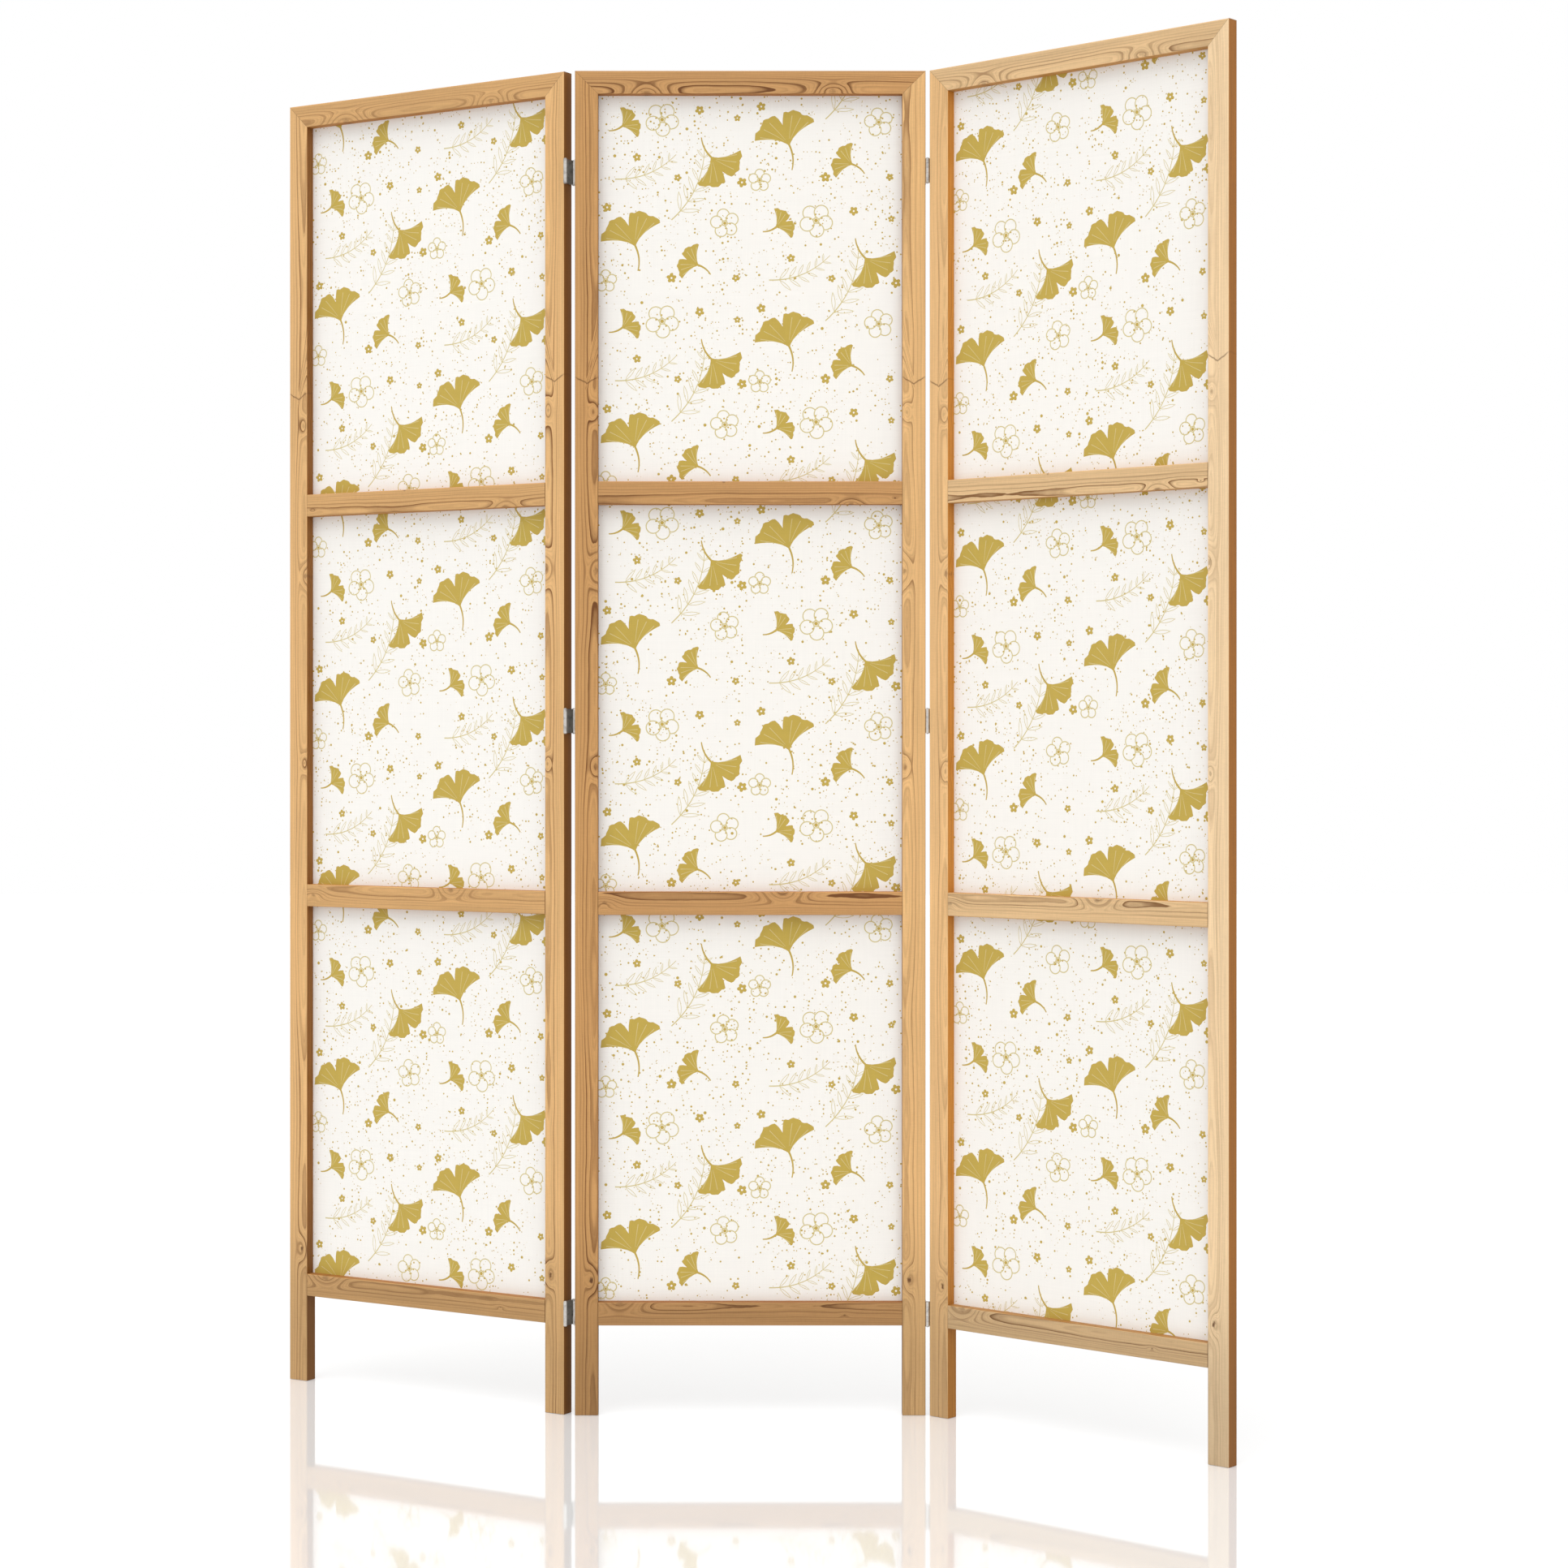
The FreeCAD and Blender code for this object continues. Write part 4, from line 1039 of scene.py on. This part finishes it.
def dress_rails(panel, seed):
    for index, (rail, knots) in enumerate(RAIL_KNOTS.items()):
        node = f"{panel.name}_{rail}_rail"
        low, high = panel.reach(node)
        inner, outward = (low[2], UP) if rail in FIGURED_BELOW else (high[2], -UP)
        width = high[2] - low[2]
        mitred = rail == "top"
        end = high[0] - width if mitred else high[0]
        placed = shifted(knots, panel)
        if rail == "upper":
            placed.append((PIN_KNOT[panel.name], PIN_KNOT_OUT, PIN_KNOT_SIZE, PIN_KNOT_DARKNESS))
        board = Board(panel.point(0, low[1], inner), panel.across, outward, panel.back, width)
        wood = pine(
            f"pine_{node}",
            board,
            RAIL_RING,
            placed,
            tint=BOARD_TONE_AND_SHADE[f"{panel.name}_rail"],
            side_shade_tint=RAIL_SIDE_SHADE_TINT,
            figure=BOARD_FIGURE.get(node, 1.0),
            seed=seed + RAIL_SEED_STEP * (index + 1),
            joint=lambda along, out: (out if mitred else 0) + end - along.size(),
        )
        dress(node, wood)


def dress_battens(panel, seed):
    for which, along, outward in (("side", UP, panel.across), ("end", panel.across, UP)):
        node = f"{panel.name}_{which}_battens"
        low, high = panel.reach(node)
        origin = panel.point(low[0], low[1], low[2])
        board = Board(origin, along, outward, panel.back, high[0] - low[0])
        dress(node, pine(f"pine_{node}", board, STILE_RING, seed=seed))


def dress_small_parts():
    nickel = metal("nickel_plate", NICKEL, NICKEL_LINES)
    steel = metal("bright_steel", STEEL, STEEL_LINES)
    dowel_wood = beech("beech_rod")
    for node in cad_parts:
        if "hinge" in node:
            dress(node, steel if node.endswith("screws") else nickel)
        elif node.endswith("brads"):
            dress(node, steel)
        elif node.endswith("dowels"):
            dress(node, dowel_wood)


# Stage

# The floor: half its side, how far it lies under the feet, its finish and a lift towards white
FLOOR_REACH = 14
FLOOR_DROP = 0.0004
FLOOR_GREY = (0.70, 0.70, 0.70)
FLOOR_GLOSS = 0.05
FLOOR_IOR = 2.0
FLOOR_METAL = 0.22
FLOOR_LIFT = 0.20
# The sky is brightest towards this direction and darkest against it
SKY_TOP = Vector((-0.24, -0.76, 0.55))
SKY_EVEN = 0.745
SKY_LEAN = 0.20
# The lamp: where its light heads, how wide it looks in degrees, and its strength
SUN_HEADING = (0.14, 0.36, -0.92)
SUN_SPREAD = 50
SUN_STRENGTH = 1.56


def seen_directly(tree):
    """One for rays from the camera and for those that mirror or glass send on, else zero."""
    path = tree.nodes.new("ShaderNodeLightPath")
    rays = [Field(tree, path.outputs[f"Is {kind} Ray"]) for kind in ("Camera", "Glossy", "Transmission")]
    return rays[0].math("MAXIMUM", rays[1]).math("MAXIMUM", rays[2])


def make_floor():
    mesh = bpy.data.meshes.new("floor")
    signs = ((-1, -1), (1, -1), (1, 1), (-1, 1))
    corners = [(x * FLOOR_REACH, y * FLOOR_REACH, -FLOOR_DROP) for x, y in signs]
    mesh.from_pydata(corners, [], [(0, 1, 2, 3)])
    surface = Surface("floor_white")
    surface.set(Base_Color=FLOOR_GREY, Roughness=FLOOR_GLOSS, IOR=FLOOR_IOR, Metallic=FLOOR_METAL)
    lift = surface.tree.nodes.new("ShaderNodeEmission")
    feed(surface.tree, lift.inputs["Strength"], seen_directly(surface.tree) * FLOOR_LIFT)
    both = surface.tree.nodes.new("ShaderNodeAddShader")
    output = surface.tree.nodes["Material Output"]
    surface.tree.links.new(surface.shader.outputs[0], both.inputs[0])
    surface.tree.links.new(lift.outputs[0], both.inputs[1])
    surface.tree.links.new(both.outputs[0], output.inputs["Surface"])
    mesh.materials.append(surface.material)
    floor = bpy.data.objects.new("floor", mesh)
    bpy.context.scene.collection.objects.link(floor)


def make_world():
    world = bpy.data.worlds.new("studio")
    world.use_nodes = True
    tree = world.node_tree
    sky = tree.nodes["Background"]
    sky.inputs["Color"].default_value = (*WHITE, 1)
    place = tree.nodes.new("ShaderNodeTexCoord")
    lean = tree.nodes.new("ShaderNodeVectorMath")
    lean.operation = "DOT_PRODUCT"
    feed(tree, lean.inputs[0], place.outputs["Generated"])
    feed(tree, lean.inputs[1], tuple(SKY_TOP))
    feed(tree, sky.inputs["Strength"], Field(tree, lean.outputs["Value"]) * SKY_LEAN + SKY_EVEN)
    backdrop = tree.nodes.new("ShaderNodeBackground")
    backdrop.inputs["Color"].default_value = (*WHITE, 1)
    both = tree.nodes.new("ShaderNodeMixShader")
    feed(tree, both.inputs["Fac"], seen_directly(tree))
    tree.links.new(sky.outputs[0], both.inputs[1])
    tree.links.new(backdrop.outputs[0], both.inputs[2])
    tree.links.new(both.outputs[0], tree.nodes["World Output"].inputs["Surface"])
    bpy.context.scene.world = world


def make_sun():
    """A broad soft lamp from above, from the left and from the front."""
    data = bpy.data.lights.new("sun", "SUN")
    data.energy = SUN_STRENGTH
    data.angle = math.radians(SUN_SPREAD)
    sun = bpy.data.objects.new("sun", data)
    sun.rotation_euler = Vector(SUN_HEADING).to_track_quat("-Z", "Y").to_euler()
    bpy.context.scene.collection.objects.link(sun)


def make_camera(panel):
    data = bpy.data.cameras.new("camera")
    data.sensor_width = SENSOR_WIDTH
    data.lens = FOCAL_PIXELS / PHOTO_SIDE * SENSOR_WIDTH
    data.shift_x = PANEL_LEFT_OF_CENTRE_PIXELS / PHOTO_SIDE
    data.shift_y = -PANEL_ABOVE_CENTRE_PIXELS / PHOTO_SIDE
    camera = bpy.data.objects.new("camera", data)
    camera.location = panel.point(0, -CAMERA_DISTANCE, CAMERA_HEIGHT)
    camera.rotation_euler = Euler((math.pi / 2, 0, 0))
    bpy.context.scene.collection.objects.link(camera)
    bpy.context.scene.camera = camera


bpy.context.scene.view_settings.view_transform = "Standard"
panels = {name: Panel(name) for name in PANELS}
cloth_materials = [
    cloth("cloth_ground", CLOTH_GROUND, ink_unevenness=0.02, roughness=0.85, dusted=True),
    cloth("cloth_gold", GOLD_INK, ink_unevenness=0.10, roughness=0.62),
    cloth("cloth_pale_gold", PALE_INK, ink_unevenness=0.10, roughness=0.68),
    cloth("cloth_back", CLOTH_BACK, ink_unevenness=0.03, roughness=0.90),
    cloth("cloth_back_ghost", BACK_GHOST, ink_unevenness=0.05, roughness=0.90),
]
print_cell = repeat_shapes()
for order, each in enumerate(panels.values()):
    dress_stiles(each, STILE_SEED * (order + 1))
    dress_rails(each, RAIL_SEED * (order + 1))
    dress_battens(each, BATTEN_SEED * (order + 1))
    stretched_sheet(each, print_cell, cloth_materials)
dress_small_parts()
make_floor()
make_world()
make_sun()
make_camera(panels["middle"])
